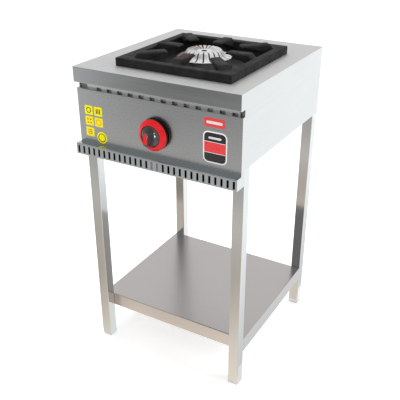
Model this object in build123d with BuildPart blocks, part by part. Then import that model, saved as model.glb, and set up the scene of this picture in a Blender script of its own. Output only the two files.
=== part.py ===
from build123d import *
from math import cos, floor, radians, sin, sqrt
import os

os.makedirs("parts", exist_ok=True)

# Floor gas stove, in millimetres. X runs left to right, Y from front to back, Z up from the floor.

# Casing
body_width = 470.0
worktop_height = 850.0
worktop_depth = 500.0
sheet = 1.2
bend_radius = 2.0
fascia_height = 40.0
vent_gap = 17.0
vent_recess = 20.0
vent_lap = 12.0
panel_setback = 10.0
panel_height = 143.0
ledge_overhang = 11.0
ledge_height = 30.0
side_step = 40.0
side_return = 14.0

# Rows of openings in the vent strip and the ledge
vent_left_gap = 25.0
vent_right_gap = 11.0
vent_lead = 36.3
vent_tail = 10.0
vent_pitch = 31.9
vent_width = 15.0
vent_height = 5.5
slot_pitch = 16.2
slot_width = 6.0
slot_height = 20.0
slot_margin = 3.5
bracket_slots = 2
bracket_depth = 14.0

# Legs
leg_size = 30.0
leg_wall = 1.5
leg_corner = 2.0
leg_setback = 29.0
plug_height = 20.0
plug_wall = 3.0
plug_clearance = 0.1

# Lower shelf
shelf_height = 140.0
shelf_skirt = 40.0
shelf_return = 12.0
stiffener_width = 60.0
stiffener_flange = 14.0
stiffener_depth = 20.0

# Rails, brackets and crossbar
rail_size = 25.0
rail_wall = 2.0
tie_width = 24.0
tie_height = 30.0
tie_wall = 2.0
bar_width = 50.0
bar_depth = 20.0
bar_tab = 35.0
bar_wall = 2.0

# Burner, placed from the middle of the worktop's width and from the fascia
burner_x = 18.5
burner_back = 217.5
well_size = 300.0
well_corner = 20.0
well_depth = 24.0
well_flange = 15.0
collar_height = 14.0
collar_gap = 2.0
seat_rise = 5.5
cup_radius = 68.0
cup_wall = 6.0
cup_depth = 29.5
neck_radius = 28.0
neck_bore = 22.0
tube_drop = 58.0
tube_radius = 26.0
tube_bore = 20.0
tube_reach = 125.0
tube_end_wall = 6.0
boss_length = 64.0
boss_width = 40.0
boss_height = 11.0
boss_bolt_pitch = 44.0

# Burner cap, with heights above its seat on the cup
cap_radius = 71.0
cap_rim = 3.5
cap_foot_radius = 54.0
cap_foot_rise = 7.0
cap_shoulder_radius = 46.0
cap_shoulder_rise = 19.0
cap_ridge_radius = 42.0
cap_ridge_rise = 21.5
cap_hub_radius = 14.0
cap_hub_rise = 17.5
cap_hole_radius = 7.0
cap_wall = 5.0
cap_skirt = 6.0
cap_skirt_wall = 3.5
cap_clearance = 0.3
port_count = 21
port_turn = -80.0
port_width = 3.0
port_start = 19.0
port_tie = 1.5

# Air shutter and injector
window_start = 14.0
window_length = 16.0
window_height = 22.0
shutter_wall = 2.5
shutter_lap = 5.0
shutter_screw_radius = 2.0
shutter_screw_length = 12.0
thumb_radius = 5.0
thumb_height = 5.0
holder_size = 24.0
holder_length = 26.0
holder_shank_radius = 8.0
holder_shank_reach = 3.0
injector_radius = 5.5
injector_length = 9.0
injector_bore = 1.0

# Gas tap, with lengths measured back from the control panel
knob_rise = 62.0
tap_x = 0.0
tap_flange_width = 60.0
tap_flange_height = 26.0
tap_flange_depth = 4.0
tap_radius = 13.0
tap_nose = 8.0
spring_space = 14.0
plug_length = 24.0
tap_rear_wall = 6.0
chamber_radius = 9.0
outlet_size = 18.0
outlet_rise = 20.0
gas_bore = 2.5
magnet_radius = 8.0
magnet_reach = 42.0
spindle_radius = 4.0
collar_radius = 7.0
collar_length = 2.0
collar_stop_gap = 0.3
tail_radius = 3.0
tail_flat = 2.0
tail_engagement = 12.0
tail_spare = 6.0
spring_wire = 1.0
spring_radius = 6.0
spring_turns = 5
spring_end_gap = 0.15
running_clearance = 0.05
plug_end_gap = 0.2
tap_screw_pitch = 46.0

# Knob, with lengths measured forward from the control panel
push_travel = 4.0
bezel_radius = 42.0
bezel_depth = 1.2
bezel_hole = 6.5
knob_radius = 40.3
knob_spare = 0.6
knob_skirt = 8.7
knob_hollow = 6.7
knob_wall = 3.5
ring_inner = 26.0
ring_lip = 1.5
hub_radius = 25.6
hub_rise = 11.5
hub_round = 1.5
grip_width = 14.0
grip_base = 46.0
grip_length = 36.0
grip_rise = 19.0
grip_round = 1.0
pointer_width = 10.5
pointer_length = 25.0
pointer_inset = 1.0
knob_core_radius = 9.0

# Gas pipes
pipe_radius = 10.65
pipe_bore = 8.05
pipe_end_cap = 5.0
pipe_bend = 45.0
pipe_stub = 30.0
pipe_side_gap = 50.0
pipe_boss_radius = 11.0
pipe_boss_length = 18.0
feed_radius = 4.0
feed_bore = 2.5
feed_bend = 12.0
feed_run = 17.0
feed_nut_flats = 14.0
feed_nut_height = 8.0
thread_radius = 10.4775
thread_length = 15.0
bulkhead_radius = 12.0
inlet_flats = 30.0
inlet_body_length = 14.0
inlet_nut_height = 7.0
clip_wall = 2.5
clip_width = 18.0
clip_foot = 36.0
clip_count = 2
clip_pitch = 200.0

# Thermocouple
probe_radius = 3.0
probe_stand_off = 84.0
probe_angle = 225.0
probe_drop = 12.0
probe_hole_clearance = 0.3
lead_radius = 1.2
lead_run = 38.0
lead_bend = 14.0
lead_swing = 36.0
lead_nut_flats = 10.0
lead_nut_length = 10.0

# Grate, with heights above the worktop
grate_lap = 12.0
grate_bar = 22.0
grate_bar_height = 21.0
grate_corner = 5.0
finger_count = 8
finger_width = 30.0
finger_rise = 10.5
finger_tip_depth = 6.5
finger_round = 2.5
finger_tip_slope = 6.0
finger_tip_drop = 3.0
finger_level = 12.0
finger_shoulder = 10.0
finger_foot_rise = 3.0
finger_lap = 3.0
mid_root_lap = 1.0
corner_root_lap = -14.0
mid_tip_radius = 67.0
corner_tip_radius = 97.0
lug_width = 24.0
lug_depth = 6.0
lug_clearance = 1.0

# Fasteners
m6_radius = 3.0
m6_flats = 10.0
m6_head = 4.0
m6_nut = 5.0
m6_bolt_length = 12.0
m4_radius = 2.0
m4_head_radius = 4.0
m4_head = 2.4
m4_screw_length = 9.0
hole_clearance = 0.2
thread_clearance = 0.05
back_screw_inset = 20.0
back_screw_rows = 3

# Heights worked out from the sizes
worktop_under = worktop_height - sheet
fascia_bottom = worktop_height - fascia_height
panel_top = fascia_bottom - vent_gap
ledge_top = panel_top - panel_height
ledge_bottom = ledge_top - ledge_height
side_bottom = ledge_bottom + side_step
shelf_bottom = shelf_height - shelf_skirt
shelf_under = shelf_height - sheet
shelf_bolt_height = shelf_height - shelf_skirt / 2
tap_height = ledge_top + knob_rise
seat_height = worktop_height + seat_rise
cup_bottom = seat_height - cup_depth
tube_height = worktop_height - tube_drop
boss_bottom = tube_height - tube_radius - boss_height
well_floor = worktop_height - well_depth
grate_top = worktop_height + grate_bar_height
finger_top = grate_top + finger_rise
finger_under = finger_top - finger_tip_depth

# Widths, seen from the middle
half_width = body_width / 2
inner_half = half_width - sheet
leg_x = inner_half - leg_size / 2
inner_length = 2 * inner_half
pipe_x = inner_half - pipe_side_gap

# The knob stands out at the front and the inlet at the back, and the origin is midway between them
knob_gap = bezel_depth + push_travel + knob_spare
knob_face = knob_gap + knob_skirt
knob_front = knob_face + hub_rise + grip_rise
front_reach = max(knob_front - panel_setback, ledge_overhang)
inlet_reach = inlet_nut_height + thread_length
fascia_y = (front_reach - worktop_depth - inlet_reach) / 2
back_y = fascia_y + worktop_depth
back_inner = back_y - sheet
vent_y = fascia_y + vent_recess
panel_y = fascia_y + panel_setback
panel_back = panel_y + sheet
ledge_y = fascia_y - ledge_overhang
leg_front = fascia_y + leg_setback
leg_front_back = leg_front + leg_size
leg_rear_front = back_inner - leg_size
shelf_length = leg_rear_front - leg_front_back
shelf_middle = (leg_rear_front + leg_front_back) / 2
burner_y = fascia_y + burner_back
tube_front = burner_y - tube_reach
tap_rear = panel_back + tap_nose + spring_space + plug_length + tap_rear_wall
plug_front = panel_back + tap_nose + spring_space
outlet_y = tap_rear - tap_rear_wall - outlet_size / 2
pipe_y = tap_rear + pipe_boss_length

burner_axis = Axis((burner_x, burner_y, 0), (0, 0, 1))
burner_profile = Plane(origin=(burner_x, burner_y, 0), x_dir=(1, 0, 0), z_dir=(0, -1, 0))
tap_plane = Plane(origin=(tap_x, panel_back, tap_height), x_dir=(1, 0, 0), z_dir=(0, 1, 0))
knob_plane = Plane(origin=(tap_x, panel_y, tap_height), x_dir=(1, 0, 0), z_dir=(0, -1, 0))
sides = (("left", -1), ("right", 1))


def block(low, high, mode=Mode.ADD):
    """Adds a box between two opposite corners to the part being built."""
    middle = tuple((a + b) / 2 for a, b in zip(low, high))
    size = [abs(b - a) for a, b in zip(low, high)]
    with Locations(middle):
        Box(*size, mode=mode)


def rod(start, direction, radius, length, mode=Mode.ADD):
    """Adds a round bar that starts at a point and runs along a direction."""
    with Locations(Plane(origin=start, z_dir=direction)):
        Cylinder(radius, length, align=(Align.CENTER, Align.CENTER, Align.MIN), mode=mode)


def hexagon(start, direction, flats, length):
    """Adds a hexagon bar of a given width across flats."""
    with BuildSketch(Plane(origin=start, z_dir=direction)) as outline:
        RegularPolygon(flats / 2, 6, major_radius=False)
    extrude(outline.sketch, amount=length)


def save(piece, name):
    """Names a finished piece and writes it to its own file."""
    piece.part.label = name
    export_step(piece.part, f"parts/{name}.step")


# Worktop: one folded sheet with its fascia and the return over the vent recess
with BuildPart() as worktop:
    with BuildSketch(Plane.YZ):
        with BuildLine():
            worktop_fold = FilletPolyline(
                (back_y, worktop_height),
                (fascia_y, worktop_height),
                (fascia_y, fascia_bottom),
                (vent_y, fascia_bottom),
                radius=bend_radius,
            )
            offset(worktop_fold, amount=sheet, side=Side.LEFT)
        make_face()
    extrude(amount=half_width, both=True)
    with BuildSketch(Plane.XY.offset(worktop_height)):
        with Locations((burner_x, burner_y)):
            RectangleRounded(well_size, well_size, well_corner)
    extrude(amount=-2 * sheet, mode=Mode.SUBTRACT)
save(worktop, "worktop")

# Side panels: flat blanks with the recess notch, the ledge's end and a return along the bottom
for side, hand in sides:
    with BuildPart() as side_panel:
        with BuildSketch(Plane.YZ.offset(hand * inner_half)):
            with BuildLine():
                Polyline(
                    (fascia_y + bend_radius, worktop_under),
                    (fascia_y + sheet, worktop_height - bend_radius),
                    (fascia_y + sheet, fascia_bottom + bend_radius),
                    (fascia_y + bend_radius, fascia_bottom + sheet),
                    (vent_y, fascia_bottom + sheet),
                    (vent_y, panel_top),
                    (panel_y, panel_top),
                    (panel_y, ledge_top),
                    (ledge_y, ledge_top),
                    (ledge_y, ledge_bottom),
                    (leg_front, ledge_bottom),
                    (leg_front, side_bottom),
                    (back_y, side_bottom),
                    (back_y, worktop_under),
                    close=True,
                )
            make_face()
        extrude(amount=hand * sheet)
        block(
            (hand * inner_half, leg_front_back, side_bottom),
            (hand * (inner_half - side_return), leg_rear_front, side_bottom + sheet),
        )
    save(side_panel, f"side_panel_{side}")

# Back panel, screwed to the rear legs, with the gas inlet's hole
back_screw_first = side_bottom + back_screw_inset
back_screw_pitch = (worktop_under - back_screw_inset - back_screw_first) / (back_screw_rows - 1)
back_screw_heights = [back_screw_first + row * back_screw_pitch for row in range(back_screw_rows)]
back_screw_places = [(hand * leg_x, height) for side, hand in sides for height in back_screw_heights]
with BuildPart() as back_panel:
    block((-inner_half, back_inner, side_bottom), (inner_half, back_y, worktop_under))
    inlet_hole = bulkhead_radius + hole_clearance
    rod((pipe_x, back_inner, tap_height), (0, 1, 0), inlet_hole, sheet, Mode.SUBTRACT)
    for x, height in back_screw_places:
        rod((x, back_inner, height), (0, 1, 0), m4_radius + hole_clearance, sheet, Mode.SUBTRACT)
save(back_panel, "back_panel")

with BuildPart() as back_panel_screws:
    for x, height in back_screw_places:
        rod((x, back_y, height), (0, 1, 0), m4_head_radius, m4_head)
        rod((x, back_y, height), (0, -1, 0), m4_radius, m4_screw_length)
save(back_panel_screws, "back_panel_screws")

# Vent strip: a row of openings at the back of the recess, just above the panel's return
vent_left = vent_left_gap - inner_half
vent_right = inner_half - vent_right_gap
vent_count = floor((vent_right - vent_left - vent_lead - vent_tail) / vent_pitch) + 1
vent_middle = vent_left + vent_lead + (vent_count - 1) * vent_pitch / 2
with BuildPart() as vent_strip:
    block(
        (vent_left, vent_y, panel_top - vent_lap),
        (vent_right, vent_y + sheet, fascia_bottom + vent_lap),
    )
    with BuildSketch(Plane.XZ.offset(-vent_y)):
        with Locations((vent_middle, panel_top + vent_height / 2)):
            with GridLocations(vent_pitch, 1, vent_count, 1):
                Rectangle(vent_width, vent_height)
    extrude(amount=-sheet, mode=Mode.SUBTRACT)
save(vent_strip, "vent_strip")

# Dark baffles on the front legs, behind the vent strip and behind the ledge's slots
with BuildPart() as vent_baffle:
    block(
        (-inner_half, leg_front - sheet, panel_top - vent_lap),
        (inner_half, leg_front, fascia_bottom + vent_lap),
    )
save(vent_baffle, "vent_baffle")

with BuildPart() as ledge_baffle:
    block(
        (-inner_half, leg_front - sheet, ledge_bottom + sheet),
        (inner_half, leg_front, ledge_top - sheet),
    )
save(ledge_baffle, "ledge_baffle")

# Control panel: a flat face with a return along its top
tap_screw_places = [(tap_x + hand * tap_screw_pitch / 2, tap_height) for side, hand in sides]
with BuildPart() as control_panel:
    with BuildSketch(Plane.YZ):
        with BuildLine():
            panel_fold = FilletPolyline(
                (panel_y, ledge_top),
                (panel_y, panel_top),
                (vent_y, panel_top),
                radius=bend_radius,
            )
            offset(panel_fold, amount=sheet, side=Side.RIGHT)
        make_face()
    extrude(amount=inner_half, both=True)
    rod((tap_x, panel_y, tap_height), (0, 1, 0), bezel_hole, sheet, Mode.SUBTRACT)
    for x, height in tap_screw_places:
        rod((x, panel_y, height), (0, 1, 0), m4_radius + hole_clearance, sheet, Mode.SUBTRACT)
save(control_panel, "control_panel")

# Brackets that tie the control panel to the front legs
with BuildPart() as panel_brackets:
    for side, hand in sides:
        low = (hand * leg_x - tie_width / 2, panel_back, tap_height - tie_height / 2)
        high = (hand * leg_x + tie_width / 2, leg_front, tap_height + tie_height / 2)
        block(low, high)
        block(
            (low[0] + hand * tie_wall, panel_back + tie_wall, low[2]),
            (high[0] + hand * tie_wall, leg_front - tie_wall, high[2]),
            Mode.SUBTRACT,
        )
save(panel_brackets, "panel_brackets")

# Front ledge: a channel with a row of upright slots
slot_count = floor((inner_length - 2 * slot_margin - slot_width) / slot_pitch) + 1
with BuildPart() as front_ledge:
    with BuildSketch(Plane.YZ):
        with BuildLine():
            ledge_fold = FilletPolyline(
                (leg_front, ledge_top),
                (ledge_y, ledge_top),
                (ledge_y, ledge_bottom),
                (leg_front, ledge_bottom),
                radius=bend_radius,
            )
            offset(ledge_fold, amount=sheet, side=Side.LEFT)
        make_face()
    extrude(amount=inner_half, both=True)
    with BuildSketch(Plane.XZ.offset(-ledge_y)):
        with Locations((0, (ledge_top + ledge_bottom) / 2)):
            with GridLocations(slot_pitch, 1, slot_count, 1):
                RectangleRounded(slot_width, slot_height, slot_width / 5)
    extrude(amount=-sheet, mode=Mode.SUBTRACT)
save(front_ledge, "front_ledge")

# Stiffening bracket behind the two slots right of the ledge's middle
bracket_width = (bracket_slots + 1) * slot_pitch - slot_width
bracket_x = (bracket_slots - 1) * slot_pitch / 2
with BuildPart() as ledge_bracket:
    block(
        (bracket_x - bracket_width / 2, ledge_y + sheet, ledge_bottom + bend_radius),
        (bracket_x + bracket_width / 2, ledge_y + sheet + bracket_depth, ledge_top - bend_radius),
    )
    block(
        (bracket_x - bracket_width / 2 + sheet, ledge_y + 2 * sheet, ledge_bottom + bend_radius),
        (bracket_x + bracket_width / 2 - sheet, ledge_y + sheet + bracket_depth, ledge_top - bend_radius),
        Mode.SUBTRACT,
    )
save(ledge_bracket, "ledge_bracket")

# Legs: square tubes from the floor to the worktop, with holes for the shelf bolts and the back panel
leg_rows = (("front", leg_front + leg_size / 2, 1), ("rear", leg_rear_front + leg_size / 2, -1))
for row, leg_y, inward in leg_rows:
    for side, hand in sides:
        with BuildPart() as leg:
            with BuildSketch():
                with Locations((hand * leg_x, leg_y)):
                    RectangleRounded(leg_size, leg_size, leg_corner)
                    tube_inside = leg_size - 2 * leg_wall
                    Rectangle(tube_inside, tube_inside, mode=Mode.SUBTRACT)
            extrude(amount=worktop_under)
            rod(
                (hand * leg_x, leg_y, shelf_bolt_height),
                (0, inward, 0),
                m6_radius + hole_clearance,
                leg_size,
                Mode.SUBTRACT,
            )
            if row == "rear":
                for height in back_screw_heights:
                    rod(
                        (hand * leg_x, leg_y, height),
                        (0, 1, 0),
                        m4_radius + thread_clearance,
                        leg_size,
                        Mode.SUBTRACT,
                    )
        save(leg, f"leg_{row}_{side}")

# Plugs that close the legs' feet
plug_size = leg_size - 2 * leg_wall - 2 * plug_clearance
with BuildPart() as leg_plugs:
    for row, leg_y, inward in leg_rows:
        for side, hand in sides:
            with BuildSketch():
                with Locations((hand * leg_x, leg_y)):
                    Rectangle(plug_size, plug_size)
            extrude(amount=plug_height)
            with BuildSketch(Plane.XY.offset(plug_wall)):
                with Locations((hand * leg_x, leg_y)):
                    Rectangle(plug_size - 2 * plug_wall, plug_size - 2 * plug_wall)
            extrude(amount=plug_height, mode=Mode.SUBTRACT)
save(leg_plugs, "leg_plugs")

# Lower shelf: a folded tray, open below, with a return along each skirt
with BuildPart() as shelf:
    with BuildSketch(Plane.XY.offset(shelf_bottom)):
        with Locations((0, shelf_middle)):
            RectangleRounded(inner_length, shelf_length, bend_radius)
    extrude(amount=shelf_skirt)
    fillet(shelf.edges().group_by(Axis.Z)[-1], radius=bend_radius)
    with BuildSketch(Plane.XY.offset(shelf_bottom + sheet)):
        with Locations((0, shelf_middle)):
            Rectangle(inner_length - 2 * sheet, shelf_length - 2 * sheet)
    extrude(amount=shelf_skirt - 2 * sheet, mode=Mode.SUBTRACT)
    with BuildSketch(Plane.XY.offset(shelf_bottom)):
        with Locations((0, shelf_middle)):
            Rectangle(inner_length - 2 * shelf_return, shelf_length - 2 * shelf_return)
    extrude(amount=sheet, mode=Mode.SUBTRACT)
    for row, leg_y, inward in leg_rows:
        for side, hand in sides:
            rod(
                (hand * leg_x, leg_y, shelf_bolt_height),
                (0, inward, 0),
                m6_radius + hole_clearance,
                leg_size,
                Mode.SUBTRACT,
            )
save(shelf, "shelf")

# Hat-section stiffener under the shelf, from skirt to skirt
stiffener_bottom = shelf_under - stiffener_depth
web_half = stiffener_width / 2 - stiffener_flange
with BuildPart() as shelf_stiffener:
    with BuildSketch(Plane.YZ):
        with BuildLine():
            hat = FilletPolyline(
                (shelf_middle - stiffener_width / 2, shelf_under),
                (shelf_middle - web_half, shelf_under),
                (shelf_middle - web_half, stiffener_bottom),
                (shelf_middle + web_half, stiffener_bottom),
                (shelf_middle + web_half, shelf_under),
                (shelf_middle + stiffener_width / 2, shelf_under),
                radius=bend_radius,
            )
            offset(hat, amount=sheet, side=Side.RIGHT)
        make_face()
    extrude(amount=inner_half - sheet, both=True)
save(shelf_stiffener, "shelf_stiffener")

# Bolts through the skirts into nuts inside the legs
bolt_seat = leg_size / 2 + sheet
with BuildPart() as shelf_bolts:
    for row, leg_y, inward in leg_rows:
        for side, hand in sides:
            seat = (hand * leg_x, leg_y + inward * bolt_seat, shelf_bolt_height)
            hexagon(seat, (0, inward, 0), m6_flats, m6_head)
            rod(seat, (0, -inward, 0), m6_radius, m6_bolt_length)
save(shelf_bolts, "shelf_bolts")

with BuildPart() as shelf_nuts:
    for row, leg_y, inward in leg_rows:
        for side, hand in sides:
            seat = (hand * leg_x, leg_y + inward * (leg_size / 2 - leg_wall), shelf_bolt_height)
            hexagon(seat, (0, -inward, 0), m6_flats, m6_nut)
            rod(seat, (0, -inward, 0), m6_radius + thread_clearance, m6_nut, Mode.SUBTRACT)
save(shelf_nuts, "shelf_nuts")

# Angle rails under the worktop's sides, from leg to leg
for side, hand in sides:
    with BuildPart() as top_rail:
        block(
            (hand * inner_half, leg_front_back, worktop_under - rail_size),
            (hand * (inner_half - rail_wall), leg_rear_front, worktop_under),
        )
        block(
            (hand * inner_half, leg_front_back, worktop_under - rail_wall),
            (hand * (inner_half - rail_size), leg_rear_front, worktop_under),
        )
    save(top_rail, f"top_rail_{side}")

# Spill pan: a square well hung under the worktop's opening, with a collar round the burner
collar_inner = cup_radius + collar_gap
probe_x = burner_x + probe_stand_off * cos(radians(probe_angle))
probe_y = burner_y + probe_stand_off * sin(radians(probe_angle))
with BuildPart() as spill_pan:
    with BuildSketch(Plane.XY.offset(well_floor)):
        with Locations((burner_x, burner_y)):
            RectangleRounded(well_size, well_size, well_corner)
    extrude(amount=worktop_under - well_floor)
    with BuildSketch(Plane.XY.offset(worktop_under)):
        with Locations((burner_x, burner_y)):
            flange_size = well_size + 2 * well_flange
            RectangleRounded(flange_size, flange_size, well_corner + well_flange)
    extrude(amount=-sheet)
    with BuildSketch(Plane.XY.offset(well_floor + sheet)):
        with Locations((burner_x, burner_y)):
            RectangleRounded(well_size - 2 * sheet, well_size - 2 * sheet, well_corner - sheet)
    extrude(amount=well_depth, mode=Mode.SUBTRACT)
    rod((burner_x, burner_y, well_floor), (0, 0, 1), collar_inner + sheet, collar_height)
    rod((burner_x, burner_y, well_floor), (0, 0, 1), collar_inner, collar_height, Mode.SUBTRACT)
    probe_hole = probe_radius + probe_hole_clearance
    rod((probe_x, probe_y, well_floor), (0, 0, 1), probe_hole, sheet, Mode.SUBTRACT)
save(spill_pan, "spill_pan")

# Crossbar under the burner, a channel with a tab on each side panel
bolt_places = [(burner_x + hand * boss_bolt_pitch / 2, burner_y) for side, hand in sides]
with BuildPart() as burner_crossbar:
    with BuildSketch(Plane.YZ):
        with BuildLine():
            channel = FilletPolyline(
                (burner_y - bar_width / 2, boss_bottom - bar_depth),
                (burner_y - bar_width / 2, boss_bottom),
                (burner_y + bar_width / 2, boss_bottom),
                (burner_y + bar_width / 2, boss_bottom - bar_depth),
                radius=bar_wall + bend_radius,
            )
            offset(channel, amount=bar_wall, side=Side.RIGHT)
        make_face()
    extrude(amount=inner_half, both=True)
    tab_top = boss_bottom - bar_wall - bend_radius
    for side, hand in sides:
        block(
            (hand * inner_half, burner_y - bar_width / 2, boss_bottom - bar_tab),
            (hand * (inner_half - bar_wall), burner_y + bar_width / 2, tab_top),
        )
    for x, y in bolt_places:
        rod((x, y, boss_bottom), (0, 0, -1), m6_radius + hole_clearance, bar_wall, Mode.SUBTRACT)
save(burner_crossbar, "burner_crossbar")

# Burner body: an iron cup on a neck, a mixing tube to the front and a foot on the crossbar
window_front = tube_front + window_start
with BuildPart() as burner_body:
    with BuildSketch(burner_profile):
        with Locations((0, cup_bottom)):
            Rectangle(cup_radius, cup_depth, align=Align.MIN)
        with Locations((0, cup_bottom + cup_wall)):
            Rectangle(cup_radius - cup_wall, cup_depth, align=Align.MIN, mode=Mode.SUBTRACT)
        with Locations((0, tube_height)):
            Rectangle(neck_radius, cup_bottom - tube_height, align=Align.MIN)
    revolve(axis=burner_axis)
    rod((burner_x, burner_y, tube_height), (0, 0, -1), neck_radius, tube_radius)
    rod((burner_x, tube_front, tube_height), (0, 1, 0), tube_radius, tube_reach)
    block(
        (burner_x - boss_length / 2, burner_y - boss_width / 2, boss_bottom),
        (burner_x + boss_length / 2, burner_y + boss_width / 2, tube_height - tube_bore),
    )
    tube_bottom = tube_front + tube_end_wall
    rod((burner_x, tube_bottom, tube_height), (0, 1, 0), tube_bore, tube_reach, Mode.SUBTRACT)
    neck_length = cup_bottom + cup_wall - tube_height
    rod((burner_x, burner_y, tube_height), (0, 0, 1), neck_bore, neck_length, Mode.SUBTRACT)
    rod((burner_x, tube_front, tube_height), (0, 1, 0), holder_shank_radius, tube_end_wall, Mode.SUBTRACT)
    block(
        (burner_x - tube_radius, window_front, tube_height - window_height / 2),
        (burner_x + tube_radius, window_front + window_length, tube_height + window_height / 2),
        Mode.SUBTRACT,
    )
    for x, y in bolt_places:
        rod((x, y, boss_bottom), (0, 0, 1), m6_radius + thread_clearance, boss_height, Mode.SUBTRACT)
save(burner_body, "burner_body")

with BuildPart() as burner_bolts:
    for x, y in bolt_places:
        hexagon((x, y, boss_bottom - bar_wall), (0, 0, -1), m6_flats, m6_head)
        rod((x, y, boss_bottom - bar_wall), (0, 0, 1), m6_radius, bar_wall + boss_height - thread_clearance)
save(burner_bolts, "burner_bolts")

# Burner cap: a ridged dome dished to a hole in the middle, flared at its foot and cut by radial flame ports
skirt_radius = cup_radius - cup_wall - cap_clearance
cap_hub = seat_height + cap_hub_rise
cap_ridge = seat_height + cap_ridge_rise
cap_edge = seat_height + cap_rim
cap_foot = seat_height + cap_foot_rise
cap_shoulder = seat_height + cap_shoulder_rise
port_length = cap_radius - port_start + cap_wall
port_middle = port_start + port_length / 2
with BuildPart() as burner_cap:
    with BuildSketch(burner_profile):
        with BuildLine():
            Line((cap_hole_radius, cap_hub), (cap_hub_radius, cap_hub))
            TangentArc((cap_ridge_radius, cap_ridge), (cap_hub_radius, cap_hub), tangent=(-1, 0))
            TangentArc((cap_ridge_radius, cap_ridge), (cap_shoulder_radius, cap_shoulder), tangent=(1, 0))
            Polyline(
                (cap_shoulder_radius, cap_shoulder),
                (cap_foot_radius, cap_foot),
                (cap_radius, cap_edge),
                (cap_radius, seat_height),
                (skirt_radius, seat_height),
                (skirt_radius, seat_height - cap_skirt),
                (skirt_radius - cap_skirt_wall, seat_height - cap_skirt),
                (skirt_radius - cap_skirt_wall, cap_edge - cap_wall / 2),
                (cap_foot_radius - cap_wall, cap_foot - cap_wall / 2),
                (cap_ridge_radius - cap_wall, cap_ridge - cap_wall),
                (cap_hub_radius, cap_hub - cap_wall),
                (cap_hole_radius, cap_hub - cap_wall),
                (cap_hole_radius, cap_hub),
            )
        make_face()
    revolve(axis=burner_axis)
    with Locations((burner_x, burner_y, seat_height + port_tie)):
        with PolarLocations(port_middle, port_count, start_angle=port_turn):
            Box(
                port_length,
                port_width,
                cap_ridge_rise,
                align=(Align.CENTER, Align.CENTER, Align.MIN),
                mode=Mode.SUBTRACT,
            )
save(burner_cap, "burner_cap")

# Air shutter: a sleeve with two windows that turns on the mixing tube, and its thumb screw
shutter_bore = tube_radius + running_clearance
shutter_radius = shutter_bore + shutter_wall
shutter_front = window_front - shutter_lap
shutter_length = window_length + 2 * shutter_lap
screw_y = shutter_front + shutter_length / 2
screw_tip = tube_height - tube_radius - 2 * running_clearance
with BuildPart() as air_shutter:
    rod((burner_x, shutter_front, tube_height), (0, 1, 0), shutter_radius, shutter_length)
    rod((burner_x, shutter_front, tube_height), (0, 1, 0), shutter_bore, shutter_length, Mode.SUBTRACT)
    block(
        (burner_x - shutter_radius, window_front, tube_height - window_height / 2),
        (burner_x + shutter_radius, window_front + window_length, tube_height + window_height / 2),
        Mode.SUBTRACT,
    )
    rod(
        (burner_x, screw_y, tube_height),
        (0, 0, -1),
        shutter_screw_radius + thread_clearance,
        shutter_radius,
        Mode.SUBTRACT,
    )
save(air_shutter, "air_shutter")

with BuildPart() as shutter_screw:
    rod((burner_x, screw_y, screw_tip), (0, 0, -1), shutter_screw_radius, shutter_screw_length)
    rod((burner_x, screw_y, screw_tip - shutter_screw_length), (0, 0, 1), thumb_radius, thumb_height)
save(shutter_screw, "shutter_screw")

# Injector holder in the tube's end wall, and the brass injector on it
holder_y = tube_front - holder_length / 2
holder_bottom = tube_height - holder_size / 2
shank_length = tube_end_wall + holder_shank_reach
with BuildPart() as injector_holder:
    block(
        (burner_x - holder_size / 2, tube_front - holder_length, holder_bottom),
        (burner_x + holder_size / 2, tube_front, tube_height + holder_size / 2),
    )
    shank_radius = holder_shank_radius - thread_clearance
    rod((burner_x, tube_front, tube_height), (0, 1, 0), shank_radius, shank_length)
    rod((burner_x, holder_y, tube_height), (0, 1, 0), gas_bore, holder_length, Mode.SUBTRACT)
    rod((burner_x, holder_y, tube_height), (0, 0, -1), gas_bore, holder_size, Mode.SUBTRACT)
save(injector_holder, "injector_holder")

with BuildPart() as injector:
    rod((burner_x, tube_front + shank_length, tube_height), (0, 1, 0), injector_radius, injector_length)
    chamfer(injector.edges().group_by(Axis.Y)[-1], length=injector_radius / 2)
    rod((burner_x, tube_front, tube_height), (0, 1, 0), injector_bore, tube_reach, Mode.SUBTRACT)
save(injector, "injector")

# Gas tap body behind the panel, with its outlet on top and the flame-guard magnet at the left
with BuildPart() as tap_body:
    with BuildSketch(tap_plane):
        RectangleRounded(tap_flange_width, tap_flange_height, tap_flange_height / 3)
    extrude(amount=tap_flange_depth)
    rod((tap_x, panel_back, tap_height), (0, 1, 0), tap_radius, tap_rear - panel_back)
    block(
        (tap_x - outlet_size / 2, outlet_y - outlet_size / 2, tap_height),
        (tap_x + outlet_size / 2, outlet_y + outlet_size / 2, tap_height + outlet_rise),
    )
    rod((tap_x, outlet_y, tap_height), (-1, 0, 0), magnet_radius, magnet_reach)
    nose_bore = spindle_radius + running_clearance
    rod((tap_x, panel_back, tap_height), (0, 1, 0), nose_bore, tap_nose, Mode.SUBTRACT)
    rod(
        (tap_x, panel_back + tap_nose, tap_height),
        (0, 1, 0),
        chamber_radius,
        spring_space + plug_length,
        Mode.SUBTRACT,
    )
    rod((tap_x, outlet_y, tap_height), (0, 0, 1), gas_bore, outlet_rise, Mode.SUBTRACT)
    rod((tap_x, tap_rear, tap_height), (0, -1, 0), gas_bore, tap_rear_wall, Mode.SUBTRACT)
    flange_hole = m4_radius + thread_clearance
    for x, height in tap_screw_places:
        rod((x, panel_back, height), (0, 1, 0), flange_hole, tap_flange_depth, Mode.SUBTRACT)
save(tap_body, "tap_body")

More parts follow.
